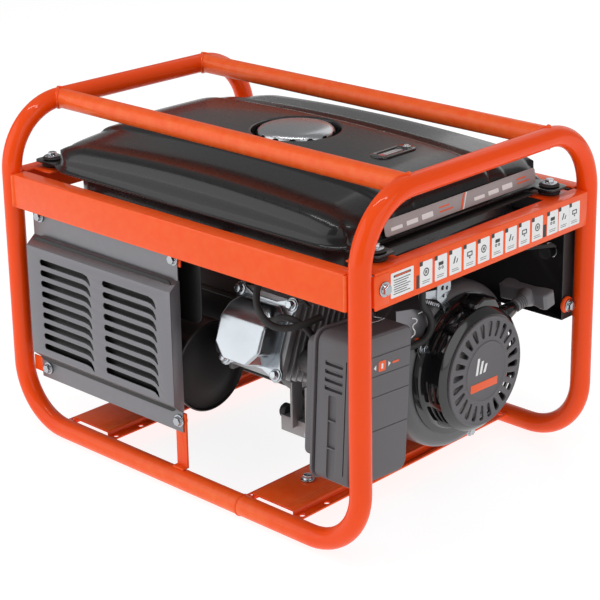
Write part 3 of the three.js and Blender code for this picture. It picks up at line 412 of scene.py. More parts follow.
def node(tree, kind, inputs=None, **settings):
    made = tree.nodes.new(kind)
    for key, value in settings.items():
        setattr(made, key, value)
    for key, value in (inputs or {}).items():
        if isinstance(value, bpy.types.NodeSocket):
            tree.links.new(value, made.inputs[key])
        else:
            made.inputs[key].default_value = value
    return made


def math_node(tree, operation, a, b=0.0, clamp=False):
    return node(tree, "ShaderNodeMath", {0: a, 1: b}, operation=operation, use_clamp=clamp).outputs[0]


def mix_colour(tree, factor, a, b):
    made = node(tree, "ShaderNodeMix", data_type="RGBA")
    for index, value in ((0, factor), (6, a), (7, b)):
        if isinstance(value, bpy.types.NodeSocket):
            tree.links.new(value, made.inputs[index])
        else:
            made.inputs[index].default_value = value
    return made.outputs[2]


def surface_skin():
    """Colour drift, worn or dusty edges, roughness drift and a fine relief, shared by every finish."""
    tree, given, result = group("Surface skin", (
        ("Colour", "Color", (0.5, 0.5, 0.5, 1)), ("Edge colour", "Color", (0.8, 0.8, 0.8, 1)),
        ("Edge wear", "Float", 0.2), ("Drift", "Float", 0.1), ("Roughness", "Float", 0.4),
        ("Roughness drift", "Float", 0.1), ("Relief scale", "Float", 900.0),
        ("Relief height", "Float", 0.05), ("Dust", "Float", 0.0),
    ), (("Colour", "Color"), ("Roughness", "Float"), ("Normal", "Vector")))
    place = node(tree, "ShaderNodeTexCoord").outputs["Object"]
    broad = node(tree, "ShaderNodeTexNoise", {"Vector": place, "Scale": 14.0, "Detail": 4.0}).outputs["Fac"]
    fine = node(tree, "ShaderNodeTexNoise", {
        "Vector": place, "Scale": given.outputs["Relief scale"], "Detail": 2.0,
        "Roughness": 0.55}).outputs["Fac"]
    patch = node(tree, "ShaderNodeTexNoise", {"Vector": place, "Scale": 90.0, "Detail": 3.0}).outputs["Fac"]
    centred = math_node(tree, "SUBTRACT", broad, 0.5)
    drift = math_node(tree, "MULTIPLY", centred, given.outputs["Drift"])
    lift = math_node(tree, "ADD", drift, 1.0)
    toned = node(tree, "ShaderNodeHueSaturation",
                 {"Value": lift, "Color": given.outputs["Colour"]}).outputs["Color"]
    edge = node(tree, "ShaderNodeNewGeometry").outputs["Pointiness"]
    ridge = node(tree, "ShaderNodeMapRange",
                 {"Value": edge, "From Min": 0.52, "From Max": 0.62}).outputs["Result"]
    worn = math_node(tree, "MULTIPLY", math_node(tree, "MULTIPLY", ridge, patch), given.outputs["Edge wear"],
                     True)
    coloured = mix_colour(tree, worn, toned, given.outputs["Edge colour"])
    up = node(tree, "ShaderNodeSeparateXYZ",
              {"Vector": node(tree, "ShaderNodeNewGeometry").outputs["Normal"]}).outputs["Z"]
    settled = math_node(tree, "MULTIPLY", math_node(tree, "MULTIPLY", up, patch, True),
                        given.outputs["Dust"], True)
    dusty = mix_colour(tree, settled, coloured, (0.42, 0.38, 0.33, 1))
    tree.links.new(dusty, result.inputs["Colour"])
    rough = math_node(tree, "MULTIPLY", math_node(tree, "SUBTRACT", patch, 0.5),
                      given.outputs["Roughness drift"])
    base = math_node(tree, "ADD", given.outputs["Roughness"], rough)
    tree.links.new(math_node(tree, "ADD", base, math_node(tree, "MULTIPLY", settled, 0.4), True),
                   result.inputs["Roughness"])
    bump = node(tree, "ShaderNodeBump",
                {"Height": fine, "Strength": 1.0, "Distance": given.outputs["Relief height"]})
    tree.links.new(bump.outputs["Normal"], result.inputs["Normal"])
    return tree


def finish(name, base, roughness=0.4, metallic=0.0, coat=0.0, coat_roughness=0.1, edge=(0.6, 0.6, 0.6),
           wear=0.1, drift=0.08, rough_drift=0.08, scale=900.0, height=0.02, dust=0.0, specular=0.5):
    """One material: the surface skin group feeding a Principled shader. height is in millimetres."""
    material = bpy.data.materials.get(name)
    if material:
        return material
    material = bpy.data.materials.new(name)
    material.use_nodes = True
    tree = material.node_tree
    shader = tree.nodes["Principled BSDF"]
    skin = tree.nodes.new("ShaderNodeGroup")
    skin.node_tree = bpy.data.node_groups.get("Surface skin") or surface_skin()
    for key, value in (("Colour", (*base, 1)), ("Edge colour", (*edge, 1)), ("Edge wear", wear),
                       ("Drift", drift), ("Roughness", roughness), ("Roughness drift", rough_drift),
                       ("Relief scale", scale), ("Relief height", height * MM), ("Dust", dust)):
        skin.inputs[key].default_value = value
    tree.links.new(skin.outputs["Colour"], shader.inputs["Base Color"])
    tree.links.new(skin.outputs["Roughness"], shader.inputs["Roughness"])
    tree.links.new(skin.outputs["Normal"], shader.inputs["Normal"])
    shader.inputs["Metallic"].default_value = metallic
    shader.inputs["Coat Weight"].default_value = coat
    shader.inputs["Coat Roughness"].default_value = coat_roughness
    shader.inputs["Specular IOR Level"].default_value = specular
    return material


def finishes():
    """Every finish of the generator by its plain name."""
    c = bpy.context.scene.generator_colours
    return {
        "frame_paint": finish("Orange powder coat", c.frame_paint, 0.42, coat=0.35, coat_roughness=0.05,
                              specular=0.1, edge=(1.0, 0.30, 0.08), wear=0.5, drift=0.10, scale=420,
                              height=0.05, dust=0.02),
        "tank_paint": finish("Satin black tank paint", c.tank_paint, 0.28, coat=0.3, coat_roughness=0.10,
                             specular=0.25, edge=(0.10, 0.10, 0.10), wear=0.4, drift=0.2, scale=700,
                             height=0.03, dust=0.02),
        "guard_paint": finish("Dark grey guard paint", c.guard_paint, 0.33, 0.7, coat=0.2, coat_roughness=0.3,
                              edge=(0.25, 0.25, 0.26), wear=0.5, scale=800, height=0.03, dust=0.02),
        "filter_plastic": finish("Grained filter plastic", c.filter_plastic, 0.52, edge=(0.14, 0.14, 0.15),
                                 wear=0.4, scale=1500, height=0.05, dust=0.03),
        "handle_plastic": finish("Grey moulded handle", (0.15, 0.148, 0.156), 0.40, edge=(0.14, 0.14, 0.14),
                                 wear=0.3, scale=1300, height=0.04, dust=0.02),
        "black_plastic": finish("Black moulded plastic", (0.020, 0.020, 0.021), 0.42, edge=(0.09, 0.09, 0.09),
                                wear=0.4, scale=1300, height=0.04, dust=0.02),
        "fan_housing_paint": finish("Fan housing paint", c.fan_paint, 0.38, coat=0.2, coat_roughness=0.25,
                                    edge=(0.15, 0.15, 0.16), wear=0.4, scale=700, height=0.04, dust=0.02),
        "recoil_paint": finish("Gloss black starter cover", (0.006, 0.006, 0.007), 0.16, coat=0.6,
                               coat_roughness=0.06, edge=(0.06, 0.06, 0.06), wear=0.3, scale=300,
                               height=0.02),
        "muffler_black": finish("Heatproof black", (0.004, 0.004, 0.004), 0.42, edge=(0.10, 0.09, 0.08),
                                wear=0.4, scale=1100, height=0.06, dust=0.03),
        "panel_paint": finish("Panel black", (0.016, 0.016, 0.017), 0.45, edge=(0.10, 0.10, 0.10), wear=0.4,
                              scale=1200, height=0.04, dust=0.02),
        "cast_alloy": finish("Cast alloy", c.cast_alloy, 0.50, 0.75, edge=(0.62, 0.62, 0.62), wear=0.6,
                             drift=0.5, rough_drift=0.25, scale=500, height=0.18, dust=0.05),
        "dark_cast": finish("Dark cast alloy", (0.12, 0.12, 0.125), 0.50, 0.5, edge=(0.4, 0.4, 0.4), wear=0.5,
                            drift=0.5, rough_drift=0.25, scale=500, height=0.15, dust=0.05),
        "zinc_plate": finish("Bright zinc plate", (0.42, 0.45, 0.48), 0.22, 1.0, edge=(0.9, 0.9, 0.9),
                             wear=0.5, drift=0.35, rough_drift=0.18, scale=350, height=0.03),
        "steel": finish("Machined steel", (0.48, 0.48, 0.49), 0.32, 1.0, edge=(0.8, 0.8, 0.8), wear=0.4,
                        drift=0.25, rough_drift=0.15, scale=900, height=0.03, dust=0.03),
        "chrome": finish("Chrome", (0.50, 0.51, 0.53), 0.28, 1.0, edge=(0.95, 0.95, 0.95), wear=0.3,
                         drift=0.1, rough_drift=0.05, scale=200, height=0.01),
        "copper_winding": finish("Varnished winding", (0.42, 0.15, 0.06), 0.42, 0.6, drift=0.5, scale=600,
                                 height=0.2),
        "rubber": finish("Black rubber", (0.012, 0.012, 0.012), 0.62, edge=(0.06, 0.06, 0.06), wear=0.4,
                         scale=900, height=0.06, dust=0.04),
        "filter_foam": finish("Filter paper", (0.62, 0.55, 0.38), 0.85, drift=0.3, scale=260, height=0.6),
        "rope": finish("Braided rope", (0.62, 0.60, 0.54), 0.80, drift=0.4, scale=700, height=0.5),
        "switch_red": finish("Red plastic", (0.55, 0.02, 0.015), 0.30, coat=0.3, scale=900, height=0.02),
        "label": finish("Printed label", c.label, 0.35, coat=0.3, wear=0.0, drift=0.04, scale=900,
                        height=0.01),
        "label_grey": finish("Grey label film", (0.34, 0.31, 0.31), 0.35, coat=0.3, wear=0.0, scale=900,
                             height=0.01),
        "ink": finish("Label ink", (0.03, 0.03, 0.03), 0.5, wear=0.0, scale=900, height=0.005),
        "ink_orange": finish("Orange ink", (0.85, 0.10, 0.015), 0.4, wear=0.0, scale=900, height=0.005),
    }


# ---- stage ---------------------------------------------------------------------------------------
class GENERATOR_OT_stage(bpy.types.Operator):
    """Set up the floor, the soft lights and the camera"""
    bl_idname = "generator.stage"
    bl_label = "Stage"

    def execute(self, context):
        azimuth, elevation, roll = 42.39 * DEG, 18.07 * DEG, -0.46 * DEG
        back = Vector((math.sin(azimuth) * math.cos(elevation), -math.cos(azimuth) * math.cos(elevation),
                       math.sin(elevation)))
        right = Vector((math.cos(azimuth), math.sin(azimuth), 0))
        up = back.cross(right)
        side = right * math.cos(roll) + up * math.sin(roll)
        top = up * math.cos(roll) - right * math.sin(roll)
        deselect()
        bpy.ops.object.camera_add()
        camera = context.object
        camera.name = "camera"
        turn = Matrix((side, top, back)).transposed().to_4x4()
        camera.matrix_world = Matrix.Translation((1.46319, -1.51126, 0.97644)) @ turn
        camera.data.sensor_width = 36
        camera.data.lens = 108.58
        camera.data.shift_x = -0.0753
        camera.data.shift_y = -0.1402
        context.scene.camera = camera
        bpy.ops.mesh.primitive_plane_add(size=14, location=(0, 0, -0.0005))
        floor = context.object
        floor.name = "floor"
        pale = bpy.data.materials.new("Pale floor")
        pale.use_nodes = True
        shader = pale.node_tree.nodes["Principled BSDF"]
        shader.inputs["Base Color"].default_value = (0.25, 0.25, 0.25, 1)
        shader.inputs["Roughness"].default_value = 0.7
        shader.inputs["Emission Color"].default_value = (1, 1, 1, 1)
        shader.inputs["Emission Strength"].default_value = 0.86
        floor.data.materials.append(pale)
        for name, place, size, power in (
                ("front panel", (-1.3, -2.3, 1.3), (3.0, 2.6), 36),
                ("right panel", (2.9, -0.3, 1.3), (2.6, 2.4), 24),
                ("ridge strip", (0.1, -0.4, 2.5), (2.6, 0.14), 16),
                ("rear panel", (-0.6, 2.6, 1.5), (2.2, 2.2), 12)):
            bpy.ops.object.light_add(type="AREA", location=place)
            light = context.object
            light.name = name
            light.data.shape = "RECTANGLE"
            light.data.size, light.data.size_y = size
            light.data.energy = power
            light.rotation_euler = (Vector(place) - Vector((0, 0, 0.2))).to_track_quat("Z", "Y").to_euler()
        world = bpy.data.worlds.new("studio")
        world.use_nodes = True
        world.node_tree.nodes["Background"].inputs["Color"].default_value = (1, 1, 1, 1)
        world.node_tree.nodes["Background"].inputs["Strength"].default_value = 0.30
        context.scene.world = world
        context.scene.view_settings.view_transform = "Standard"
        return {"FINISHED"}


# ---- frame ---------------------------------------------------------------------------------------
class GENERATOR_OT_mechanism(bpy.types.Operator):
    """Give every part of the mechanism its finish"""
    bl_idname = "generator.mechanism"
    bl_label = "Mechanism finishes"

    def execute(self, context):
        looks = finishes()
        for entry in frame["record"]["subparts"]:
            part = frame["nodes"][entry["node"]]
            part.data.materials.clear()
            part.data.materials.append(looks[entry["material_slot"]])
        return {"FINISHED"}


class GENERATOR_OT_tubes(bpy.types.Operator):
    """Bend the frame's two tubes, and weld on the top rails"""
    bl_idname = "generator.tubes"
    bl_label = "Tube frame"

    def execute(self, context):
        sizes = context.scene.generator_sizes
        looks = finishes()
        low, high = Vector(cad_box[0]) / MM, Vector(cad_box[1]) / MM
        rail_box = box("top_rail_front")
        radius = (rail_box[1].z - rail_box[0].z) / 2
        post_x, rail_y = high.x - radius, high.y - radius
        floor_z, top_z = low.z + radius, high.z - radius
        seam = box("frame_tube_left")[1].x
        lower, upper, weld = sizes.lower_bend / MM, sizes.upper_bend / MM, sizes.weld / MM
        x, y, z = AXES["x"], AXES["y"], AXES["z"]
        for name, side in (("frame_tube_left", -1), ("frame_tube_right", 1)):
            end = side * post_x
            points = []
            for rail in (-1, 1):
                foot = arc((end - side * lower, rail * rail_y, floor_z + lower), -90, 0, lower, 18, x * side,
                           z)
                crown = arc((end, rail * (rail_y - upper), top_z - upper), 0, 90, upper, 20, y * rail, z)
                half = [Vector((seam + side * 0.15, rail * rail_y, floor_z)), *foot, *crown]
                points += half if rail < 0 else half[::-1]
            show(tube(points, radius, 10), name + "_bent", looks["frame_paint"],
                 replaces=(name,))
        for name in ("top_rail_front", "top_rail_rear"):
            rail_low, rail_high = box(name)
            centre_y = (rail_low.y + rail_high.y) / 2
            reach = post_x - radius * 0.5
            rail = tube([(-reach, centre_y, top_z), (reach, centre_y, top_z)], radius, 10)
            beads = [weld_ring(end * post_x, centre_y, top_z, radius, -end, weld) for end in (-1, 1)]
            show(join(rail, *beads), name + "_welded", looks["frame_paint"], replaces=(name,))
        bead = tube(arc((seam, -rail_y, floor_z), 0, 350, radius, 40, y, z), weld * 0.45, 3, closed=True)
        twin = copied(bead, shift(0, 2 * rail_y, 0))
        show(join(bead, twin), "frame_seam_welds", looks["frame_paint"])
        return {"FINISHED"}


def weld_ring(x, y, z, radius, side, thickness):
    """The saddle-shaped bead where a rail meets a bar of its own size, which runs along y."""
    points = []
    for i in range(56):
        a = 2 * math.pi * i / 56
        reach = radius * math.sqrt(max(1 - math.sin(a) ** 2, 0.0))
        points.append((x + side * (reach + 0.4 * math.sin(i * 2.7)), y + radius * math.cos(a),
                       z + radius * math.sin(a)))
    return tube(points, thickness, 3, closed=True)


class GENERATOR_OT_sheet_metal(bpy.types.Operator):
    """Round the edges of the belt, the cross channels, the strut and the tabs"""
    bl_idname = "generator.sheet_metal"
    bl_label = "Sheet metal"

    def execute(self, context):
        looks = finishes()
        edge = context.scene.generator_sizes.edge / MM
        for part in ("belt_front", "belt_rear", "belt_left", "belt_right", "guard_strut", "guard_tab"):
            piece = refined(part, edge)
            if part == "belt_right":
                post_y = box(part)[0].y
                face_x = box(part)[1].x
                lug = block((face_x - 4, post_y - 2, 300), (face_x + 0.8, post_y + 22, 335), 0.8)
                piece = join(piece, lug)
            show(piece, part + "_sheet", looks["frame_paint"], replaces=(part,))
        beads = []
        for part, rail in (("belt_front", -1), ("belt_rear", 1)):
            low, high = box(part)
            y = (low.y if rail < 0 else high.y) - rail * 1.2
            beads += [tube([(x, y, box("belt_left")[0].z + 1), (x, y, high.z - 1)], 2.6, 4)
                      for x in (low.x - 0.6, high.x + 0.6)]
        show(join(*beads), "belt_welds", looks["frame_paint"])
        for part in ("cross_channel_left", "cross_channel_right"):
            low, high = box(part)
            strip_x = high.x - 17
            ribs = [tube([(strip_x + dx, low.y + 3, high.z - 2.2), (strip_x + dx, high.y - 3, high.z - 2.2)],
                         1.6, 3)
                    for dx in (-9, -4.5, 0)]
            ribs = [moved(rib, shift(0, 0, 1.0)) for rib in ribs]
            show(join(refined(part, edge), *ribs), part + "_sheet", looks["frame_paint"],
                 replaces=(part,))
        hook = tube(arc((278, 184, 192), -60, 240, 7.5, 20, AXES["y"], AXES["z"]), 3.2, 4)
        show(hook, "cable_ring", looks["frame_paint"])
        return {"FINISHED"}


class GENERATOR_OT_belt_labels(bpy.types.Operator):
    """Stick the plain notice and the picture labels on the right end of the belt"""
    bl_idname = "generator.belt_labels"
    bl_label = "Belt labels"

    def execute(self, context):
        looks = finishes()
        face = box("belt_right")[1].x
        paper = [plate([rounded(-165.5, -128.5, 303.5, 331.5, 1.5)], "x", face, face + 0.25)]
        ink = [plate([rounded(-161, -133, 326, 328.6, 1.2)], "x", face + 0.2, face + 0.4)]
        ink += [self.line(face, -161 + (i % 2), -134 - 3 * (i % 3), 322.5 - 2.6 * i, 0.8) for i in range(7)]
        orange = [plate([rounded(-159, -135, 326.7, 327.9, 0.5)], "x", face + 0.35, face + 0.5)]
        starts = [-118 + 24.9 * i for i in range(9)] + [110.6, 133, 154]
        for i, left in enumerate(starts):
            right = left + 20.6
            paper.append(plate([rounded(left, right, 303, 331, 1.2)], "x", face, face + 0.25))
            ink.append(plate([rounded(left - 0.4, left + 4.4, 326.8, 331.6, 0.6)], "x", face + 0.2,
                             face + 0.4))
            ink += self.picture(face, left, right, i)
            ink += [self.line(face, left + 4, right - 4 - (i + j) % 3, 308.5 - 2.2 * j, 0.5)
                    for j in range(2)]
        ink.append(plate([rounded(103, 108.6, 303, 318, 0.6)], "x", face, face + 0.3))
        ink.append(plate([rounded(-123.6, -119.4, 303, 318, 0.6)], "x", face, face + 0.3))
        show(join(*paper), "belt_label_paper", looks["label"])
        show(join(*ink), "belt_label_ink", looks["ink"])
        show(join(*orange), "belt_label_orange", looks["ink_orange"])
        return {"FINISHED"}

    def line(self, face, left, right, z, width):
        return plate([[(left, z), (right, z), (right, z + width), (left, z + width)]], "x", face + 0.2,
                     face + 0.4)

    def picture(self, face, left, right, number):
        """A plain picture of rings, bars or blocks, different from one label to the next."""
        y, z = (left + right) / 2, 318.5
        kind = number % 4
        if kind == 0:
            shapes = [[circle(y, z, 4.6), circle(y, z, 3.4)],
                      [rounded(y - 1.6, y - 0.3, z - 1.8, z + 1.8, 0.4)],
                      [rounded(y + 0.3, y + 1.6, z - 1.8, z + 1.8, 0.4)]]
        elif kind == 1:
            shapes = [[rounded(y - 4, y + 4, z + 1, z + 5, 0.6)],
                      [circle(y - 2.6, z - 2, 1.8), circle(y - 2.6, z - 2, 0.9)],
                      [circle(y + 2.6, z - 2, 1.8), circle(y + 2.6, z - 2, 0.9)]]
        elif kind == 2:
            shapes = [[[(y - 4, z - 3), (y - 1, z + 4.5), (y + 0.6, z + 4), (y - 2.2, z - 3.4)]],
                      [[(y + 1, z - 3), (y + 3.4, z + 1.4), (y + 4.4, z + 0.8), (y + 2.4, z - 3.6)]]]
        else:
            shapes = [[rounded(y - 4.6, y + 4.6, z - 2, z + 3.6, 0.8),
                       rounded(y - 3.2, y + 3.2, z - 0.8, z + 2.4, 0.6)],
                      [rounded(y - 1, y + 1, z - 4.6, z - 2.6, 0.3)]]
        return [plate(shape, "x", face + 0.2, face + 0.4) for shape in shapes]


# ---- tank ----------------------------------------------------------------------------------------
def tank_height(x, y):
    """Height of the tank's pressed top at a place: arched along x, stepped along both sides."""
    drop = 6 * (x / 190) ** 2 + 12 * max(0.0, (abs(x) - 185) / 64) ** 2
    levels = ((0, 403.0), (60, 402.7), (64, 402.0), (69, 398.6), (74, 398.2), (92, 397.4), (96, 396.6),
              (102, 393.0), (108, 392.4), (150, 388.0), (165, 385.6), (172, 383.0), (177, 378.0),
              (180, 371.0))
    for (y0, z0), (y1, z1) in zip(levels, levels[1:]):
        if abs(y) <= y1:
            return z0 + (z1 - z0) * (abs(y) - y0) / (y1 - y0) - drop
    return levels[-1][1] - drop


def rounded_place(u, v, half_x, half_y, corner):
    """Maps a place in the square (-1..1) onto a rectangle with round corners."""
    ring = max(abs(u), abs(v), 1e-9)
    x, y = u / ring * half_x, v / ring * half_y
    dx, dy = abs(x) - (half_x - corner), abs(y) - (half_y - corner)
    if dx > 0 and dy > 0:
        angle = (dy / corner if dy < dx else 2 - dx / corner) * 45 * DEG
        x = math.copysign(half_x - corner + corner * math.cos(angle), x)
        y = math.copysign(half_y - corner + corner * math.sin(angle), y)
    return x * ring, y * ring


class GENERATOR_OT_tank(bpy.types.Operator):
    """Press the tank's stepped top, its round corners, its skirt and the well for the cap"""
    bl_idname = "generator.tank"
    bl_label = "Tank"

    def execute(self, context):
        looks = finishes()
        half_x, half_y, corner, flange, lowest_press = 249.0, 180.0, 44.0, 347.2, 352
        deselect()
        bpy.ops.mesh.primitive_grid_add(x_subdivisions=120, y_subdivisions=120, size=2)
        piece = context.object
        for vertex in piece.data.vertices:
            u, v = vertex.co.x, vertex.co.y
            ring = max(abs(u), abs(v))
            x, y = rounded_place(u, v, half_x, half_y, corner)
            edge = max(0.0, (ring - 0.93) / 0.07)
            height = tank_height(x, y)
            shoulder = 16 * (1 - math.sqrt(max(0.0, 1 - edge ** 2)))
            if abs(u) >= abs(v):
                height -= shoulder
            vertex.co = (x * MM, y * MM, max(height, lowest_press) * MM)
        select(piece)
        bpy.ops.object.mode_set(mode="EDIT")
        bpy.ops.mesh.select_all(action="SELECT")
        bpy.ops.mesh.region_to_loop()
        for out, level in ((1.000, 0.62), (1.004, 0.30), (1.010, 0.12), (1.022, 0.03), (1.026, 0.0)):
            bpy.ops.mesh.extrude_region_move()
            bpy.ops.object.mode_set(mode="OBJECT")
            for vertex in piece.data.vertices:
                if vertex.select:
                    rim = tank_rim(vertex.co.x / MM, vertex.co.y / MM)
                    x, y = rim[0] * out, rim[1] * out
                    top = tank_height(x, y) - 16 if abs(x) > half_x - 10 else tank_height(x, y)
                    vertex.co = (x * MM, y * MM, (flange + (max(top, lowest_press) - flange) * level) * MM)
            bpy.ops.object.mode_set(mode="EDIT")
        bpy.ops.mesh.edge_face_add()
        bpy.ops.mesh.select_all(action="SELECT")
        bpy.ops.mesh.normals_make_consistent(inside=False)
        bpy.ops.object.mode_set(mode="OBJECT")
        well = turned([(0, 387.3), (49, 387.3), (52.5, 389), (53.5, 392), (53.8, 399), (55, 401.6),
                       (58, 402.9), (60, 405), (60, 412), (0, 412)], "z", (5, 0, 0), 72)
        cut(piece, well)
        smooth(piece, 60)
        low = box("fuel_tank")[0]
        seam = low.z + 36
        skirt = plate([rounded(-254.5, 254.5, -184.5, 184.5, 47, 10)], "z", seam, seam + 2.6, 0.5)
        ears = [plate([rounded(*sorted((side * 236, side * 284)), y - 17, y + 17, 7)], "z", seam - 0.1,
                      seam + 2.4, 0.4)
                for side in (-1, 1) for y in (-155, 155)]
        belly = plate([rounded(-229, 229, -159, 159, 36, 8)], "z", low.z, seam + 1, 6, 4)
        neck = turned([(22, 380), (24.5, 380), (24.5, 393.6), (23.8, 394.3), (22.6, 394.3), (22, 393.6)],
                      "z", (5, 0, 0), 48)
        # Painted shade: a thin black sheet just under the tank's seam that stands in for the shade beneath
        # the tank.
        shade_tray = plate([rounded(-262, 262, -138, 138, 10, 6)], "z", seam - 4.6, seam - 3.2, 0.4)
        show(shade_tray, "tank_painted_shade_sheet", looks["muffler_black"])
        tank = join(piece, skirt, *ears, belly, neck)
        show(tank, "tank_pressed", looks["tank_paint"], replaces=("fuel_tank",))
        return {"FINISHED"}


def tank_rim(x, y):
    """The place on the tank's rounded outline nearest to a place close to it."""
    half_x, half_y, corner = 249.0, 180.0, 44.0
    inner_x = max(-(half_x - corner), min(half_x - corner, x))
    inner_y = max(-(half_y - corner), min(half_y - corner, y))
    run = Vector((x - inner_x, y - inner_y))
    run = run.normalized() * corner if run.length else run
    return inner_x + run.x, inner_y + run.y


class GENERATOR_OT_tank_fittings(bpy.types.Operator):
    """Make the cap, the gauge, the tank's label and its rubber mounts"""
    bl_idname = "generator.tank_fittings"
    bl_label = "Tank fittings"

    def execute(self, context):
        looks = finishes()
        low, high = box("fuel_cap")
        radius = (high.x - low.x) / 2
        centre = (low.x + high.x) / 2
        cap = turned([(0, high.z - 4), (radius - 5, high.z - 6), (radius - 2, low.z), (radius, low.z + 0.5),
                      (radius, high.z - 9), (radius - 1.2, high.z - 6), (radius - 4, high.z - 3.4),
                      (radius - 9, high.z - 1.8), (radius - 18, high.z - 0.7), (0, high.z)], "z",
                      (centre, 0, 0), 120)
        flutes = []
        for i in range(14):
            a = 2 * math.pi * i / 14
            place = (centre + (radius + 4.4) * math.cos(a), (radius + 4.4) * math.sin(a))
            flutes.append(rod((*place, low.z - 1), (*place, high.z - 5.4), 6.6, 1.6, 24))
        show(smooth(round_edges(cut(cap, *flutes), 0.6), 40), "fuel_cap_fluted", looks["chrome"],
             "cap_shell", replaces=("fuel_cap",))
        low, high = box("fuel_gauge")
        mid_x = (low.x + high.x) / 2
        case = plate([rounded(low.x, high.x, low.y, high.y, 11, 8)], "z", high.z - 6.5, high.z, 1.6, 4)
        pocket = plate([rounded(mid_x - 6, mid_x + 6, low.y + 8, high.y - 18, 5, 6)], "z", high.z - 1.6,
                       high.z + 2)
        foot = plate([rounded(low.x - 3, high.x + 3, low.y - 3, high.y + 3, 13, 8)], "z", high.z - 9,
                     high.z - 5.6, 0.8)
        show(join(cut(case, pocket), foot), "fuel_gauge_case", looks["recoil_paint"],
             replaces=("fuel_gauge",))
        dial = plate([rounded(mid_x - 5.4, mid_x + 5.4, low.y + 8.6, high.y - 18.6, 4.6, 6)], "z",
                     high.z - 1.7, high.z - 1.2)
        show(dial, "fuel_gauge_dial", looks["label_grey"])
        marks = [plate([rounded(mid_x - 4, mid_x + 4, low.y + 20 + 5 * i, low.y + 21 + 5 * i, 0.4)], "z",
                       high.z - 1.3, high.z - 1.1)
                 for i in range(4)]
        show(join(*marks), "fuel_gauge_marks", looks["label"])
        needle = plate([circle(mid_x, low.y + 13.5, 3.4)], "z", high.z - 1.3, high.z - 0.8)
        show(needle, "fuel_gauge_needle", looks["switch_red"])
        screw = bolts([((mid_x, high.y - 9, high.z), (0, 0, 1))], 3.2, 1.6, 5.0, 0.8)
        show(screw, "fuel_gauge_screw", looks["chrome"])
        self.label(looks)
        self.mounts(looks)
        return {"FINISHED"}

    def label(self, looks):
        """The grey strip on the tank's right end, with a slanted stripe and no lettering."""
        face = 253.9
        strip = plate([rounded(-122, 148, 350.2, 368.6, 4)], "x", face - 0.9, face, 0.2)
        show(moved(strip, shift(face, 0, 350), lean(-9, "Y"), shift(-face, 0, -350)), "tank_label",
             looks["label_grey"])
        red = [plate([[(6, 350.6), (9, 350.6), (17, 368.4), (14, 368.4)]], "x", face, face + 0.2)]
        white = [plate([[(10.6, 350.6), (12.6, 350.6), (20.6, 368.4), (18.6, 368.4)]], "x", face, face + 0.2)]
        for start, tone in ((-112, white), (32, white)):
            for i in range(3):
                left = start + 26 * i
                tone.append(plate([rounded(left, left + 19, 355, 359 + i, 1)], "x", face, face + 0.2))
        for start in (-30, 112):
            red += [plate([rounded(start, start + 24 - 6 * j, 356 + 5 * j, 357.6 + 5 * j, 0.5)], "x", face,
                          face + 0.2) for j in range(2)]
        for name, parts, look in (("tank_label_red", red, "ink_orange"),
                                  ("tank_label_white", white, "label")):
            tilted = moved(join(*parts), shift(face, 0, 350), lean(-9, "Y"), shift(-face, 0, -350))
            show(tilted, name, looks[look])

    def mounts(self, looks):
        """Rubber blocks under the tank's ears, with a wide washer and a bolt on each."""
        places = [(x, y) for x in (-268, 268) for y in (-155, 155)]
        seat = box("belt_left")[1].z
        rubbers = [turned([(5, seat + 0.1), (12, seat + 0.1), (13.5, seat + 2), (12.6, seat + 3.3),
                           (13.5, seat + 4.6), (12, seat + 6.4), (5, seat + 6.4)], "z", (x, y, 0), 36)
                           for x, y in places]
        top = seat + 6.6 + 2.6
        rubbers += [turned([(4, top), (10.5, top), (12.5, top + 1.4), (11, top + 3.2), (4, top + 3.2)], "z",
                           (x, y, 0), 36) for x, y in places]
        show(join(*rubbers), "tank_mount_rubbers", looks["rubber"])
        heads = bolts([((x, y, top + 3.2), (0, 0, 1)) for x, y in places], 5.4, 4.2, 9.5, 1.2)
        show(heads, "tank_mount_bolts", looks["zinc_plate"])


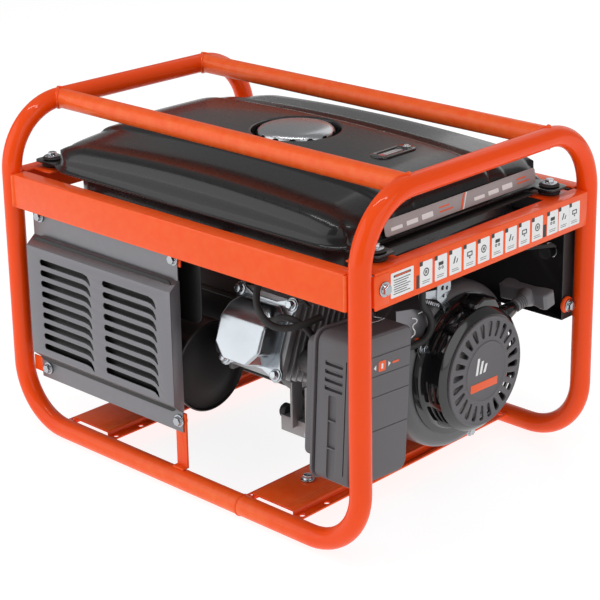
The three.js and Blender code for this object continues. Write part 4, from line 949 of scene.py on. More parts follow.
# ---- muffler guard and exhaust -------------------------------------------------------------------
class GENERATOR_OT_guard(bpy.types.Operator):
    """Fold the louvred guard in front of the muffler"""
    bl_idname = "generator.guard"
    bl_label = "Muffler guard"

    def execute(self, context):
        looks = finishes()
        low, high = box("muffler_guard")
        lip = context.scene.generator_sizes.louvre_lip / MM / 2
        out, back, sheet = low.y, low.y + 13, 1.5
        left, right = low.x, high.x
        steps = (low.z, low.z + 26, low.z + 37.5, high.z - 44.2, high.z - 33.2, high.z)
        half_slot, first_slot, slot_pitch = 47, 13.5, 13.9
        slots = []
        lips = []
        for column in (-185, -68):
            for i in range(9):
                z = steps[2] + first_slot + slot_pitch * i
                x0, x1 = column - half_slot, column + half_slot
                slots.append([(x0 + 2, z - 3.6), (x1 - 14, z - 3.6), (x1 - 7, z - 4.6), (x1 - 2.5, z - 7.2),
                              (x1 - 0.6, z - 9.0), (x1 + 1, z - 8.2), (x1 - 0.6, z - 2.4),
                              (x1 - 4.5, z + 2.4), (x1 - 12, z + 4.4), (x0 + 4, z + 4.4),
                              (x0 + 0.8, z + 2.6), (x0, z - 0.6)])
                lips.append(tube([(x0 + 3, out + lip, z + 4.6), (x1 - 12, out + lip, z + 4.6),
                                  (x1 - 4.3, out + lip, z + 2.6), (x1 - 0.4, out + lip, z - 2.3)], lip, 2))
        face = plate([[(left, steps[2]), (right, steps[2]), (right, steps[3]), (left, steps[3])], *slots],
                     "y", out, out + sheet, 0.25, 1)
        folds = [
            self.fold(left, right, (back, steps[0]), (back, steps[1]), sheet),
            self.fold(left, right, (back, steps[1]), (out, steps[2]), sheet),
            self.fold(left, right, (out, steps[3]), (back, steps[4]), sheet),
            self.fold(left, right, (back, steps[4]), (back, steps[5]), sheet),
        ]
        cheeks = []
        for x0, x1 in ((left, left + sheet), (right - sheet, right)):
            outline = [(out + 0.2, steps[2]), (out + 0.2, steps[3]), (back - 1, steps[4] - 1),
                       (back + 3, steps[4]), (back + 3, steps[1]), (back - 1, steps[1] + 1)]
            cheeks.append(plate([outline], "x", x0, x1, 0.3))
        # Painted shade: a black sheet inside the guard, behind the slots, that stands in for the shade seen
        # through them.
        shade_liner = plate([rounded(left + 5, right - 5, steps[1], steps[4], 8)], "y", out + 7, out + 8, 0.3)
        show(shade_liner, "guard_painted_shade_sheet", looks["muffler_black"])
        guard = join(face, *folds, *cheeks, *lips)
        show(smooth(guard, 30), "muffler_guard_pressed", looks["guard_paint"],
             replaces=("muffler_guard",))
        return {"FINISHED"}

    def fold(self, left, right, start, end, sheet):
        """A flat run of the folded sheet between two (y, z) corners."""
        (y0, z0), (y1, z1) = start, end
        outline = [(y0, z0), (y1, z1), (y1 + sheet, z1 + (0.3 if z1 > z0 else 0)), (y0 + sheet, z0)]
        return plate([outline], "x", left, right, 0.3)


class GENERATOR_OT_muffler(bpy.types.Operator):
    """Roll the muffler's drum, its seams and its domed ends"""
    bl_idname = "generator.muffler"
    bl_label = "Muffler"

    def execute(self, context):
        looks = finishes()
        low, high = box("muffler")
        radius = (high.z - low.z) / 2
        centre = (0, (low.y + high.y) / 2, (low.z + high.z) / 2)
        right, left = high.x, low.x
        skin = [(0, left + 1.5)]
        skin += [(radius - 14, left + 2.5), (radius - 4, left + 5), (radius - 1.2, left),
                 (radius, left + 0.6), (radius, left + 2.6), (radius - 2, left + 5), (radius - 2, left + 60),
                 (radius - 1.2, left + 62), (radius - 2, left + 64), (radius - 2, right - 64),
                 (radius - 1.2, right - 62), (radius - 2, right - 60), (radius - 2, right - 6),
                 (radius - 0.2, right - 4), (radius, right - 1.2), (radius - 1.4, right),
                 (radius - 3.6, right - 3.4), (radius - 9, right - 4.6), (radius - 22, right - 2.4),
                 (0, right - 1.2)]
        drum = turned(skin, "x", centre, 96)
        show(drum, "muffler_drum", looks["muffler_black"], replaces=("muffler",))
        show(refined("exhaust_pipe", 1.2), "exhaust_pipe_bent", looks["dark_cast"],
             replaces=("exhaust_pipe",))
        # Painted shade: a black sheet behind the guard's slots that stands in for the shade seen through
        # them, not a real heat shield.
        shade_shield = plate([rounded(-196, 20, 205, 292, 14)], "y", -178, -176.6, 0.5)
        show(shade_shield, "painted_shade_sheet", looks["muffler_black"])
        return {"FINISHED"}


# ---- engine --------------------------------------------------------------------------------------
class GENERATOR_OT_valve_cover(bpy.types.Operator):
    """Stamp the bright valve cover with its four ears and bolts, on the finned head"""
    bl_idname = "generator.valve_cover"
    bl_label = "Valve cover"

    def execute(self, context):
        looks = finishes()
        base = -190.3
        ear = 41.0
        flange_outline = []
        for i, (su, sv) in enumerate(((1, -1), (1, 1), (-1, 1), (-1, -1))):
            middle = math.atan2(sv, su)
            for k in range(-5, 6):
                a = middle + k * 21 * DEG
                flange_outline.append((su * ear + 9 * math.cos(a), sv * ear + 9 * math.sin(a)))
            nu, nv = ((1, 1), (-1, 1), (-1, -1), (1, -1))[i]
            mid_u, mid_v = (su + nu) / 2 * (ear - 1), (sv + nv) / 2 * (ear - 1)
            flange_outline.append((mid_u + 18 * (su - nu) / 2, mid_v + 18 * (sv - nv) / 2))
            flange_outline.append((mid_u - 18 * (su - nu) / 2, mid_v - 18 * (sv - nv) / 2))
        flange = plate([flange_outline], "y", base - 3.2, base, 0.8, 3)
        cover = join(flange, self.cup(base))
        moved(cover, HEAD)
        show(smooth(cover, 40), "valve_cover_stamped", looks["zinc_plate"],
             replaces=("valve_cover",))
        heads = bolts([((su * ear, base - 3.2, sv * ear), (0, -1, 0)) for su in (-1, 1) for sv in (-1, 1)],
                      5.0, 5.0, 7.4, 1.6)
        show(moved(heads, HEAD), "valve_cover_bolts", looks["zinc_plate"])
        head = refined("cylinder_head", 0.5)
        show(head, "cylinder_head_cast", looks["cast_alloy"], replaces=("cylinder_head",))
        return {"FINISHED"}

    def cup(self, base):
        """The deep-drawn cup: a flat face, a sloped facet over it and soft corners."""
        face = base - 34
        foot = [(-36, -22), (-20, -37), (22, -37), (36, -20), (36, 24), (25, 36), (-27, 36), (-36, 26)]
        cup = plate([foot], "y", face, base - 1)
        over = moved(block((-60, -60, 0), (60, 0, 70)), shift(0, face, 9), lean(-31))
        return smooth(round_edges(cut(cup, over), 4, 5, 15), 60)


class GENERATOR_OT_crankcase(bpy.types.Operator):
    """Cast the crankcase with its base rail, oil fillers, drain bolt and foot"""
    bl_idname = "generator.crankcase"
    bl_label = "Crankcase"

    def execute(self, context):
        looks = finishes()
        body = refined("crankcase", 1.2)
        ribs = [block((x, -88, 60), (x + 4, -70, 120), 1.2) for x in (72, 96, 120, 144)]
        brace = plate([[(-84, 44), (-20, 44), (-20, 60), (-76, 60)]], "x", 108, 118, 0.8)
        show(join(body, *ribs, brace), "crankcase_cast", looks["cast_alloy"],
             replaces=("crankcase",))
        low, high = box("oil_dipstick")
        x, z = (low.x + high.x) / 2, (low.z + high.z) / 2
        knob = turned([(0, -9), (9, -9), (11, -7.4), (11, -2), (10, 0), (8.7, 0), (8.7, 8), (0, 8)], "y",
                      (0, 0, 0), 40)
        grips = [rod((10.6 * math.cos(a), -10, 10.6 * math.sin(a)),
                     (10.6 * math.cos(a), -1, 10.6 * math.sin(a)), 1.5, 0.4, 10)
                 for a in [2 * math.pi * i / 14 for i in range(14)]]
        knob = moved(join(knob, *grips), shift(x, low.y + 9.2, z))
        show(knob, "oil_dipstick_knob", looks["black_plastic"], "dipstick",
             replaces=("oil_dipstick",))
        side_knob = moved(turned([(0, -9), (8, -9), (9.2, -7.6), (9.2, -2), (8, 0), (0, 0)], "x", (0, 0, 0),
                                 40), shift(53, -70, 70))
        show(side_knob, "oil_plug_knob", looks["black_plastic"])
        drains = bolts([((100, -80.5, 57.8), (0, -1, 0)), ((136, -80.5, 66), (0, -1, 0))], 6.2, 6, 8.2, 1.6)
        show(drains, "drain_bolts", looks["zinc_plate"])
        return {"FINISHED"}


class GENERATOR_OT_air_filter(bpy.types.Operator):
    """Mould the air filter's case with its rim, grooves, louvres and wire clips"""
    bl_idname = "generator.air_filter"
    bl_label = "Air filter"

    def execute(self, context):
        looks = finishes()
        half, tall, depth = 49.0, 86.0, 52.0
        outline = rounded(-half, half, -tall, tall, 13, 8)
        shell = plate([outline], "x", 0.3, depth, 3.0, 4)
        inner = plate([rounded(-half + 10, half - 10, -tall + 10, tall - 10, 9, 6)], "x", -2, depth - 5)
        cut(shell, inner)
        grooves = [block((depth - 0.9, -60, z - 0.5), (depth + 2, 60, z + 0.5)) for z in (61, 38, 14, -26)]
        grooves.append(block((depth - 9, -half - 4, -70), (depth - 7.6, half + 4, 62)))
        louvres = [block((13, -half - 2, z - 2.6), (39, -half + 5, z + 2.6), 1.6)
                   for z in (54, 44.5, 35, 25.5)]
        channel = block((19, -half - 2, -82), (31, -half + 3.2, 18), 2.4)
        cut(shell, *grooves)
        cut(shell, *louvres)
        cut(shell, channel)
        brow = plate([rounded(-half + 2, half - 2, 64, tall - 2.5, 9, 6)], "x", depth - 1.2, depth + 0.6, 0.5)
        fins = [moved(block((14, -half + 0.6, -0.8), (38, -half + 4, 0.8), 0.5), shift(0, 0, z + 1.4))
                for z in (54, 44.5, 35, 25.5)]
        stops = [block((18.5, -half + 0.2, z - 1), (31.5, -half + 3.4, z + 1), 0.5) for z in (-12, -44)]
        case = smooth(join(shell, brow, *fins, *stops), 35)
        show(moved(case, FILTER), "air_filter_case", looks["filter_plastic"],
             "filter_cover", replaces=("air_filter_cover",))
        rim = plate([rounded(-half - 0.2, half + 0.2, -tall - 0.2, tall + 0.2, 13, 8)], "x", -6, -0.3, 1.2, 3)
        lip = plate([rounded(-half - 2.2, half + 2.2, -tall - 2.2, tall + 2.2, 15, 8),
                     rounded(-half + 4, half - 4, -tall + 4, tall - 4, 10, 8)], "x", -3.4, -0.4, 1.0, 3)
        back = plate([rounded(-43, 43, -66, 74, 10, 6)], "x", -20, -5, 1.6, 3)
        show(moved(join(rim, lip, back), FILTER), "air_filter_back", looks["filter_plastic"],
             replaces=("air_filter_base",))
        for name, side in (("filter_clip_top", 1), ("filter_clip_bottom", -1)):
            z = side * (tall + 1.9)
            wire = [(-4, -12, z), (-4, 12, z), (8, 13, z), (14, 9, z), (24, 12, z), (26, 0, z), (24, -12, z),
                    (14, -9, z), (8, -13, z)]
            clip = moved(tube(wire, 1.2, 4, closed=True), FILTER, shift(0, 20, 0))
            show(clip, name + "_wire", looks["chrome"], name.replace("filter_", ""),
                 replaces=(name,))
        self.decal(looks, depth)
        return {"FINISHED"}

    def decal(self, looks, depth):
        """Two arrows and a small orange square, with no lettering."""
        face = depth + 0.15
        square = plate([rounded(38, 50, 42, 54, 2)], "x", face - 0.2, face + 0.1)
        arrows = [plate([[(30, 48), (34, 51), (34, 45)]], "x", face - 0.2, face + 0.1),
                  plate([[(58, 48), (54, 51), (54, 45)]], "x", face - 0.2, face + 0.1),
                  plate([rounded(18, 27, 46.8, 49.2, 0.8)], "x", face - 0.2, face + 0.1),
                  plate([rounded(42.6, 45.4, 45, 51, 0.6)], "x", face, face + 0.2)]
        dash = plate([rounded(61, 72, 46.8, 49.2, 0.8)], "x", face - 0.2, face + 0.1)
        move = FILTER @ shift(0, -44, 0)
        show(moved(join(square, dash), move), "filter_decal_orange", looks["ink_orange"],
             "filter_cover")
        show(moved(join(*arrows), move), "filter_decal_white", looks["label"],
             "filter_cover")


class GENERATOR_OT_carburettor(bpy.types.Operator):
    """Refine the carburettor, the levers and the choke's plate"""
    bl_idname = "generator.carburettor"
    bl_label = "Carburettor"

    def execute(self, context):
        looks = finishes()
        show(refined("carburettor", 1.0), "carburettor_body", looks["dark_cast"],
             replaces=("carburettor",))
        screws = bolts([((162 + dx, -137 + dy, 175.5), (0, 0, 1)) for dx in (0, 18) for dy in (0, 16)], 2.6,
                       1.8, 3.4, 0.6)
        show(screws, "carburettor_screws", looks["zinc_plate"])
        outline = [(-84, 204), (-55, 201), (-40, 205), (-31.5, 217), (-33.5, 236), (-56, 245), (-84, 250)]
        card = plate([outline], "x", 234, 236, 0.5)
        show(card, "choke_card", looks["guard_paint"])
        scale = [tube([(236.3, y, z)
                       for y, z in ((-57.3, 234.7), (-48.5, 228.5), (-55.5, 224.5), (-51.9, 215),
                                                 (-58.9, 211))], 0.8, 2, curved=True)]
        scale += [plate([rounded(-46, -38, 236, 237.4, 0.6)], "x", 236, 236.4)]
        show(join(*scale), "choke_card_arc", looks["label"])
        mark = plate([rounded(-52, -45, 205.5, 207.6, 0.8)], "x", 236, 236.4)
        show(mark, "choke_card_mark", looks["ink_orange"])
        bracket = plate([[(-17, 262), (-2, 268), (7, 262), (7, 250), (1, 244), (6.5, 228), (1, 225),
                          (-4, 226), (-10, 239), (-17.5, 246)], circle(-8, 258, 2.6, 16),
                          circle(0, 256, 2.2, 16),
                         circle(-6, 248, 2, 16)], "x", 239, 240.6, 0.4)
        wing = plate([[(-17, 246), (-48, 256), (-48, 262), (-17, 258)]], "x", 238, 239.2, 0.3)
        stay = block((214, -20, 262), (240, 4, 264.5), 0.8)
        show(join(bracket, wing, stay), "throttle_bracket", looks["zinc_plate"])
        spring = [(241, -44 + 0.9 * i, 253 - 0.45 * i + 2.6 * math.sin(i * 1.6)) for i in range(34)]
        show(tube(spring, 0.7, 2), "throttle_spring", looks["zinc_plate"])
        return {"FINISHED"}


class GENERATOR_OT_fan_housing(bpy.types.Operator):
    """Press the fan housing with its stepped rim"""
    bl_idname = "generator.fan_housing"
    bl_label = "Fan housing"

    def execute(self, context):
        looks = finishes()
        low, high = box("fan_housing")
        mouth = 78
        left, right, radius = low.x, high.x, (high.y - low.y) / 2
        skin = [(radius - 3, left), (radius, left), (radius, left + 8), (radius + 1.6, left + 10),
                (radius + 1.6, left + 13), (radius, left + 15), (radius, right - 16),
                (radius - 0.6, right - 11), (radius - 2, right - 7), (radius - 4.4, right - 3.6),
                (radius - 8, right - 1.2), (radius - 11, right), (mouth, right), (mouth, right - 3),
                (radius - 12, right - 3), (radius - 6, right - 6), (radius - 3.4, right - 12)]
        shell = turned(skin, "x", (0, (low.y + high.y) / 2, (low.z + high.z) / 2), 128)
        show(smooth(shell, 40), "fan_housing_pressed", looks["fan_housing_paint"],
             replaces=("fan_housing",))
        centre_y, centre_z, bolt_circle = 32, 147.5, 96
        places = [((right - 3, centre_y + bolt_circle * math.cos(a * DEG),
                    centre_z + bolt_circle * math.sin(a * DEG)), (1, 0, 0)) for a in (285, 335)]
        show(bolts(places, 4.6, 4, 6.6, 1.2), "fan_housing_bolts", looks["zinc_plate"])
        return {"FINISHED"}


class GENERATOR_OT_recoil_starter(bpy.types.Operator):
    """Form the recoil starter's bell with its slots, and its louvred front disc"""
    bl_idname = "generator.recoil_starter"
    bl_label = "Recoil starter"

    def execute(self, context):
        looks = finishes()
        base, face, wide, small = 235.4, 275.0, 77.0, 66.0
        bell = turned([(wide - 4, base), (wide + 9, base), (wide + 9, base + 2), (wide + 2, base + 3),
                       (wide, base + 5), (wide - 2.5, base + 14), (small + 9, face - 10),
                       (small + 4, face - 5), (small, face - 3.4), (small - 4, face - 3.4),
                       (small - 4, face - 6), (small, face - 7), (small + 5, face - 12),
                       (wide - 6, base + 14)], "x", (0, 0, 0), 144)
        lug_angles = (38, 150, 278)
        lugs = []
        for angle in lug_angles:
            c, s = math.cos(angle * DEG), math.sin(angle * DEG)
            ring = [(u * c - v * s, u * s + v * c)
                    for u, v in ((70, -13), (82, -12), (90, -7), (92.4, 0), (90, 7), (82, 12), (70, 13))]
            lugs.append(plate([ring], "x", base, base + 4, 0.8))
        slots = []
        for centre in (112, 140, 188, 214, 244, 286, 326, 10):
            turn = Matrix.Rotation((centre - 90) * DEG, 4, "X")
            for k in range(3):
                slot = block((base + 8 + 8 * k, -14 + k, -14), (base + 13.2 + 8 * k, 14 - k, 14), 1.8)
                slots.append(moved(slot, turn, shift(0, 0, 72)))
        bell = join(bell, *lugs)
        cut(bell, *slots)
        rope_x = 253
        guide = rod((rope_x, 62, 37), (rope_x, 86, 37), 11, 3.0, 40, 8)
        guide = moved(guide, lean(10))
        bell = moved(smooth(join(bell, guide, self.bulge(base, face)), 40), ENGINE)
        show(bell, "recoil_bell", looks["recoil_paint"], replaces=("recoil_housing",))
        self.disc(looks, face, small)
        centre_y, centre_z, bolt_circle = 31, 152.5, 83.5
        places = [((base + 4, centre_y + bolt_circle * math.cos(a * DEG),
                    centre_z + bolt_circle * math.sin(a * DEG)), (1, 0, 0)) for a in lug_angles]
        show(bolts(places, 4.8, 4.4, 6.8, 1.2), "recoil_bolts", looks["zinc_plate"])
        return {"FINISHED"}

    def bulge(self, base, face):
        """The raised house over the rope's way out, at the bell's top."""
        outline = [(-8, 62), (-5, 80), (10, 85), (32, 79), (42, 66), (30, 54), (0, 54)]
        return plate([outline], "x", base + 2, face - 12, 4, 5)

    def disc(self, looks, face, small):
        """The front disc: a ring of tapered slots round a plate with a plain badge."""
        base_x = face - 34
        slot_outlines = []
        for i in range(24):
            a = (i + 0.5) * 15 * DEG
            sweep = 0.06
            outline = []
            for radius, width in ((42, 1.2), (43.5, 2.2), (52, 3.3), (57, 4.0), (59.6, 3.2), (60.6, 1.2)):
                outline.append((radius, -width))
            outline += [(r, -w) for r, w in reversed(outline)]
            c, s = math.cos(a), math.sin(a)
            slot_outlines.append([(u * c - (v + sweep * (u - 51)) * s, u * s + (v + sweep * (u - 51)) * c)
                                  for u, v in outline])
        disc = plate([circle(0, 0, small - 1, 144), *slot_outlines], "x", face - 3.2, face - 0.2, 0.5, 2)
        rim = turned([(small - 3.4, face - 3.6), (small + 0.6, face - 3.6), (small + 0.6, face - 1),
                      (small - 0.6, face), (small - 2.6, face - 0.1)], "x", (0, 0, 0), 128)
        centre = turned([(0, face - 1), (37.5, face - 1), (37.5, face - 0.4), (36, face + 1.0),
                         (34.5, face + 0.4), (33, face + 0.2), (0, face + 0.2)], "x", (0, 0, 0), 96)
        disc = moved(smooth(join(disc, rim, centre), 35), ENGINE)
        show(disc, "recoil_disc", looks["filter_plastic"])
        badge = plate([rounded(-29, 21, -5, 5, 1)], "x", face, face + 0.5, 0.15)
        badge = moved(badge, ENGINE, shift(0, 0, -16), lean(-2))
        show(badge, "recoil_badge", looks["ink_orange"])
        strokes = [plate([[(-20 + 7 * i, 0), (-16 + 7 * i, 0), (-12 + 7 * i, 20 - 5 * i),
                           (-16 + 7 * i, 20 - 5 * i)]], "x", face, face + 0.45)
                   for i in range(3)]
        show(moved(join(*strokes), ENGINE), "recoil_badge_strokes", looks["label"])
        net = turned([(66, base_x), (68, base_x), (60, face - 12), (30, face - 9), (30, face - 9.6),
                      (58, face - 12.6)],
                     "x", (0, 0, 0), 64)
        show(moved(net, ENGINE), "recoil_screen", looks["label_grey"])


class GENERATOR_OT_starter_handle(bpy.types.Operator):
    """Mould the T-shaped starter handle and lay its rope"""
    bl_idname = "generator.starter_handle"
    bl_label = "Starter handle"

    def execute(self, context):
        looks = finishes()
        lean_rope = ENGINE @ lean(10) @ shift(0, 0, 37)
        neck = [(0, 88.5), (7.5, 88.5)]
        for i in range(6):
            neck += [(8.2, 90 + 3.6 * i), (8.2, 91.6 + 3.6 * i), (6.8, 92.2 + 3.6 * i), (6.8, 93.2 + 3.6 * i)]
        stem = turned([*neck, (9.5, 113), (9.5, 118), (0, 118)], "y", (253, 0, 0), 40)
        side = [(212, 114), (215, 110.5), (224, 110.5), (236, 113.5), (264, 113.5), (273, 110.5),
                (280, 110.5), (283, 114), (283, 128), (280, 131.5), (270, 131.5), (258, 128.5), (234, 128.5),
                (224, 131.5), (215, 131.5), (212, 128)]
        grip = plate([side], "z", -10, 10, 3, 5)
        shoulder = rod((253, 104, 0), (253, 116, 0), 8, 1, 40, 13)
        handle = moved(smooth(join(stem, grip, shoulder), 40), lean_rope)
        show(handle, "starter_handle_grip", looks["handle_plastic"], "handle",
             replaces=("starter_handle",))
        run = [lean_rope @ (Vector((253, y, 0)) * MM) / MM for y in range(60, 97, 2)]
        rope = tube(run, 2.4, 4)
        rope.name = rope.data.name = "starter_rope_run"
        rope.data.materials.append(looks["rope"])
        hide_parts("starter_rope")
        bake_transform(rope)
        return {"FINISHED"}


class GENERATOR_OT_alternator(bpy.types.Operator):
    """Cast the alternator's housing and its slotted end cover"""
    bl_idname = "generator.alternator"
    bl_label = "Alternator"

    def execute(self, context):
        looks = finishes()
        low, high = box("alternator_housing")
        left, right, radius = low.x, high.x, 92.0
        shell = turned([(radius - 5, left), (radius, left), (radius, right - 30), (radius + 3, right - 27),
                        (radius + 6, right - 22), (radius + 6, right - 1), (radius + 5, right), (70, right),
                        (70, right - 6), (radius - 5, right - 24)], "x", (0, 0, 0), 96)
        ribs = [rod((left + 6, (radius + 1) * math.cos(a), (radius + 1) * math.sin(a)),
                    (right - 26, (radius + 1) * math.cos(a), (radius + 1) * math.sin(a)), 3.4, 1.0, 16)
                for a in (0.4, 1.2, 1.95, 2.75, 3.5, 4.3, 5.1, 5.9)]
        housing = moved(smooth(join(shell, *ribs), 40), ENGINE)
        show(housing, "alternator_housing_cast", looks["muffler_black"],
             replaces=("alternator_housing",))
        cover = refined("alternator_end_cover", 1.0)
        slots = []
        for i in range(16):
            a = i * 22.5 * DEG
            slot = block((-252, 30, -3), (-236, 60, 3), 1.2)
            slots.append(moved(slot, ENGINE, Matrix.Rotation(a, 4, "X")))
        show(smooth(cut(cover, *slots), 40), "alternator_end_cast", looks["dark_cast"],
             replaces=("alternator_end_cover",))
        end = box("alternator_rotor")[0].x - 0.8
        bearing = turned([(0, end - 4), (13, end - 4), (15, end - 2.4), (15, end), (0, end)], "x", (0, 0, 0),
                         40)
        bearing = moved(bearing, ENGINE)
        show(bearing, "alternator_bearing_cap", looks["dark_cast"])
        return {"FINISHED"}


class GENERATOR_OT_hoses(bpy.types.Operator):
    """Run the fuel hose, the breather hose, the spark lead and the wires"""
    bl_idname = "generator.hoses"
    bl_label = "Hoses and wires"

    def execute(self, context):
        looks = finishes()
        radius = context.scene.generator_sizes.hose / MM
        runs = [
            [(190, -70, 276), (196, -68, 272), (220, -56, 280), (241, -49, 272), (243, -46, 249),
             (243, -33, 231), (243, -31, 217), (243, -40, 207), (241, -55, 203), (230, -76, 200),
             (208, -84, 196)],
            [(112, -150, 300), (122, -182, 288), (129, -196, 272), (140, -202, 259), (155, -198, 246),
             (168, -186, 243), (178, -170, 246), (184, -150, 250)],
            [(128, -176, 238), (142, -180, 244), (153, -180, 250), (166, -176, 249), (176, -168, 240),
             (179, -158, 226), (180, -148, 212), (178, -140, 196)],
        ]
        hoses = [tube(points, radius, 6, curved=True) for points in runs]
        show(smooth(join(*hoses), 60), "rubber_hoses", looks["rubber"])
        wires = [
            [(60, -60, 300), (90, -110, 290), (120, -120, 284), (170, -100, 286), (230, -60, 290),
             (262, 40, 288)],
            [(-40, 100, 290), (40, 60, 292), (120, -20, 294), (180, -40, 290), (240, 60, 284),
             (266, 170, 270)],
            [(40, -96, 286), (80, -128, 280), (128, -138, 268), (150, -136, 250)],
        ]
        strands = [tube([(x, y + dy, z - dz) for x, y, z in points], 1.6, 3, curved=True)
                   for points in wires for dy, dz in ((0, 0), (4, 3))]
        show(smooth(join(*strands), 60), "wiring", looks["rubber"])
        clips = [turned([(radius - 0.4, -2.4), (radius + 1.1, -2.4), (radius + 1.1, 2.4),
                         (radius - 0.4, 2.4)], "z", place, 28)
                 for place in ((190, -70, 274), (190, -70, 277))]
        show(join(*clips), "hose_clips", looks["zinc_plate"])
        return {"FINISHED"}


class GENERATOR_OT_control_panel(bpy.types.Operator):
    """Fit out the control panel: sockets, meter, switch, breaker and terminals"""
    bl_idname = "generator.control_panel"
    bl_label = "Control panel"

    def execute(self, context):
        looks = finishes()
        low, high = box("control_panel")
        face = high.y
        mid = (low.z + high.z) / 2
        hood = plate([[(low.x + 2, high.z - 2), (high.x - 2, high.z - 2), (high.x - 2, 337),
                       (low.x + 2, 337)]],
                     "y", 188, 189.4, 0.3)
        show(hood, "control_panel_hood", looks["panel_paint"])
        show(refined("control_panel", 0.8), "control_panel_pressed", looks["panel_paint"],
             replaces=("control_panel",))
        for part in ("socket_right", "socket_left"):
            show(refined(part, 1.0), part + "_moulded", looks["black_plastic"],
                 replaces=(part,))
        meter_low, meter_high = box("voltmeter")
        x, z = (meter_low.x + meter_high.x) / 2, (meter_low.z + meter_high.z) / 2
        show(refined("voltmeter", 1.0), "voltmeter_case", looks["black_plastic"],
             replaces=("voltmeter",))
        dial = plate([rounded(x - 21, x + 21, z - 20, z + 20, 3)], "y", meter_high.y - 0.2,
                     meter_high.y + 0.3)
        show(dial, "voltmeter_dial", looks["label"])
        ticks = []
        for i in range(9):
            a = (160 - 17.5 * i) * DEG
            start = (x + 14 * math.cos(a), z - 6 + 16 * math.sin(a))
            end = (x + 17 * math.cos(a), z - 6 + 20 * math.sin(a))
            ticks.append(tube([(start[0], meter_high.y + 0.4, start[1]),
                               (end[0], meter_high.y + 0.4, end[1])], 0.4, 1))
        ticks.append(tube([(x, meter_high.y + 0.5, z - 8), (x - 10, meter_high.y + 0.5, z + 8)], 0.5, 1))
        show(join(*ticks), "voltmeter_ticks", looks["ink"])
        show(refined("engine_switch", 0.8), "engine_switch_knob", looks["black_plastic"],
             "ignition", replaces=("engine_switch",))
        knob_low, knob_high = box("engine_switch")
        knob_x, knob_z = (knob_low.x + knob_high.x) / 2, (knob_low.z + knob_high.z) / 2
        cap = rod((knob_x, knob_high.y - 0.4, knob_z), (knob_x, knob_high.y + 0.8, knob_z), 6.4, 0.4, 32)
        show(cap, "engine_switch_cap", looks["switch_red"], "ignition")
        show(refined("breaker_button", 0.8), "breaker_button_cap", looks["black_plastic"],
             "breaker", replaces=("breaker_button",))
        edge = face - 0.3
        places = [((px, edge, pz), (0, 1, 0)) for px in (low.x + 8, high.x - 8)
                  for pz in (low.z + 8, high.z - 8)]
        show(bolts(places, 3.4, 2.4, 5, 0.8), "control_panel_screws", looks["zinc_plate"])
        stripe = plate([rounded(low.x + 16, high.x - 16, mid - 47, mid - 44.6, 1)], "y", face - 0.1,
                       face + 0.3)
        show(stripe, "control_panel_stripe", looks["ink_orange"])
        terminals = bolts([((low.x + 30, face, low.z + 22), (0, 1, 0))], 5, 8, 8, 1.6)
        show(terminals, "earth_terminal", looks["zinc_plate"])
        return {"FINISHED"}


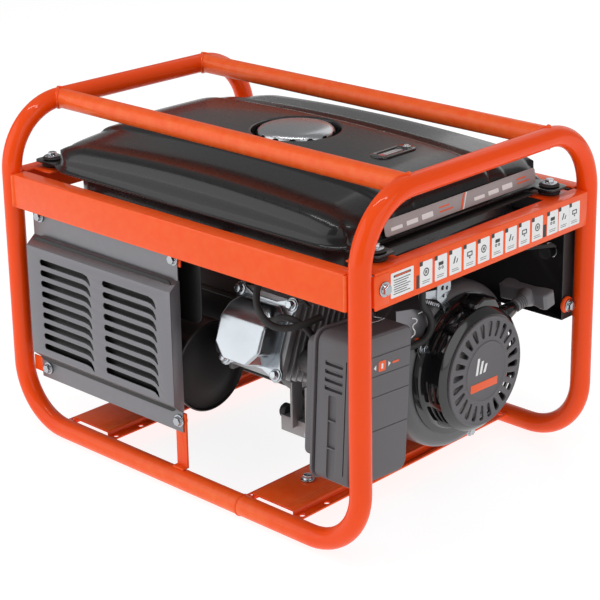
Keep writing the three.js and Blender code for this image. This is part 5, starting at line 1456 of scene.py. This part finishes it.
class GENERATOR_OT_fasteners(bpy.types.Operator):
    """Fit the bolts, nuts and rubber blocks that hold the assembly together"""
    bl_idname = "generator.fasteners"
    bl_label = "Fasteners"

    def execute(self, context):
        looks = finishes()
        for part in ("guard_bolt_left_low", "guard_bolt_left_high", "guard_bolt_right_low",
                     "guard_bolt_right_high"):
            low, high = box(part)
            place = ((low.x + high.x) / 2, low.y + 6, (low.z + high.z) / 2)
            head = bolts([(place, (0, -1, 0)), ((place[0], high.y - 3.4, place[2]), (0, -1, 0))], 5.6, 4.4,
                         7.8, 1.4)
            shank = rod((place[0], place[1], place[2]), (place[0], high.y, place[2]), 2.9, 0.4, 20)
            show(join(head, shank), part + "_hex", looks["zinc_plate"], replaces=(part,))
        belt_x = box("belt_right")[1].x
        singles = [((belt_x + 0.8, -176.6, 318), (1, 0, 0)), ((134, -124, 25.2), (0, 0, 1)),
                   ((134, 172, 25.2), (0, 0, 1)), ((-186, -124, 25.2), (0, 0, 1)),
                   ((-186, 172, 25.2), (0, 0, 1)), ((281, 184, 192), (1, 0, 0))]
        show(bolts(singles, 5.8, 5, 8.4, 1.6), "frame_bolts", looks["zinc_plate"])
        for part in ("alternator_isolator_front", "alternator_isolator_rear", "engine_isolator_front",
                     "engine_isolator_rear"):
            low, high = box(part)
            x, y, radius = (low.x + high.x) / 2, (low.y + high.y) / 2, (high.x - low.x) / 2
            rubber = turned([(0, low.z), (radius, low.z), (radius, low.z + 2.4), (radius - 1.5, low.z + 4),
                             (radius - 3.4, low.z + 7), (radius - 3.4, high.z - 7),
                             (radius - 1.5, high.z - 4), (radius, high.z - 2.4), (radius, high.z),
                             (0, high.z)], "z", (x, y, 0), 48)
            show(rubber, part + "_moulded", looks["rubber"], replaces=(part,))
        feet = [((x, y, z), (0, 0, 1)) for x, z in ((142, 52.6), (-178, 48.4)) for y in (-56, 104)]
        show(bolts(feet, 5.8, 5, 9, 1.8), "foot_nuts", looks["zinc_plate"])
        return {"FINISHED"}


CLASSES = (
    GeneratorSizes, GeneratorColours, GENERATOR_OT_stage, GENERATOR_OT_mechanism, GENERATOR_OT_tubes,
    GENERATOR_OT_sheet_metal, GENERATOR_OT_belt_labels, GENERATOR_OT_tank, GENERATOR_OT_tank_fittings,
    GENERATOR_OT_guard, GENERATOR_OT_muffler, GENERATOR_OT_valve_cover, GENERATOR_OT_crankcase,
    GENERATOR_OT_air_filter, GENERATOR_OT_carburettor, GENERATOR_OT_fan_housing, GENERATOR_OT_recoil_starter,
    GENERATOR_OT_starter_handle, GENERATOR_OT_alternator, GENERATOR_OT_hoses, GENERATOR_OT_control_panel,
    GENERATOR_OT_fasteners)
STEPS = [cls.bl_idname for cls in CLASSES if issubclass(cls, bpy.types.Operator)]


class GENERATOR_PT_sidebar(bpy.types.Panel):
    """Lists the generator's pieces"""
    bl_idname = "GENERATOR_PT_sidebar"
    bl_label = "Portable Generator"
    bl_space_type = "VIEW_3D"
    bl_region_type = "UI"
    bl_category = "Generator"

    def draw(self, context):
        for settings in (context.scene.generator_sizes, context.scene.generator_colours):
            for key in settings.bl_rna.properties.keys():
                if key not in {"rna_type", "name"}:
                    self.layout.prop(settings, key)
        for step in STEPS:
            self.layout.operator(step)


def register():
    for cls in (*CLASSES, GENERATOR_PT_sidebar):
        bpy.utils.register_class(cls)
    bpy.types.Scene.generator_sizes = bpy.props.PointerProperty(type=GeneratorSizes)
    bpy.types.Scene.generator_colours = bpy.props.PointerProperty(type=GeneratorColours)


def unregister():
    del bpy.types.Scene.generator_sizes
    del bpy.types.Scene.generator_colours
    for cls in reversed((*CLASSES, GENERATOR_PT_sidebar)):
        bpy.utils.unregister_class(cls)


def main():
    register()
    for step in STEPS:
        space, name = step.split(".")
        getattr(getattr(bpy.ops, space), name)()


if __name__ == "__main__":
    main()
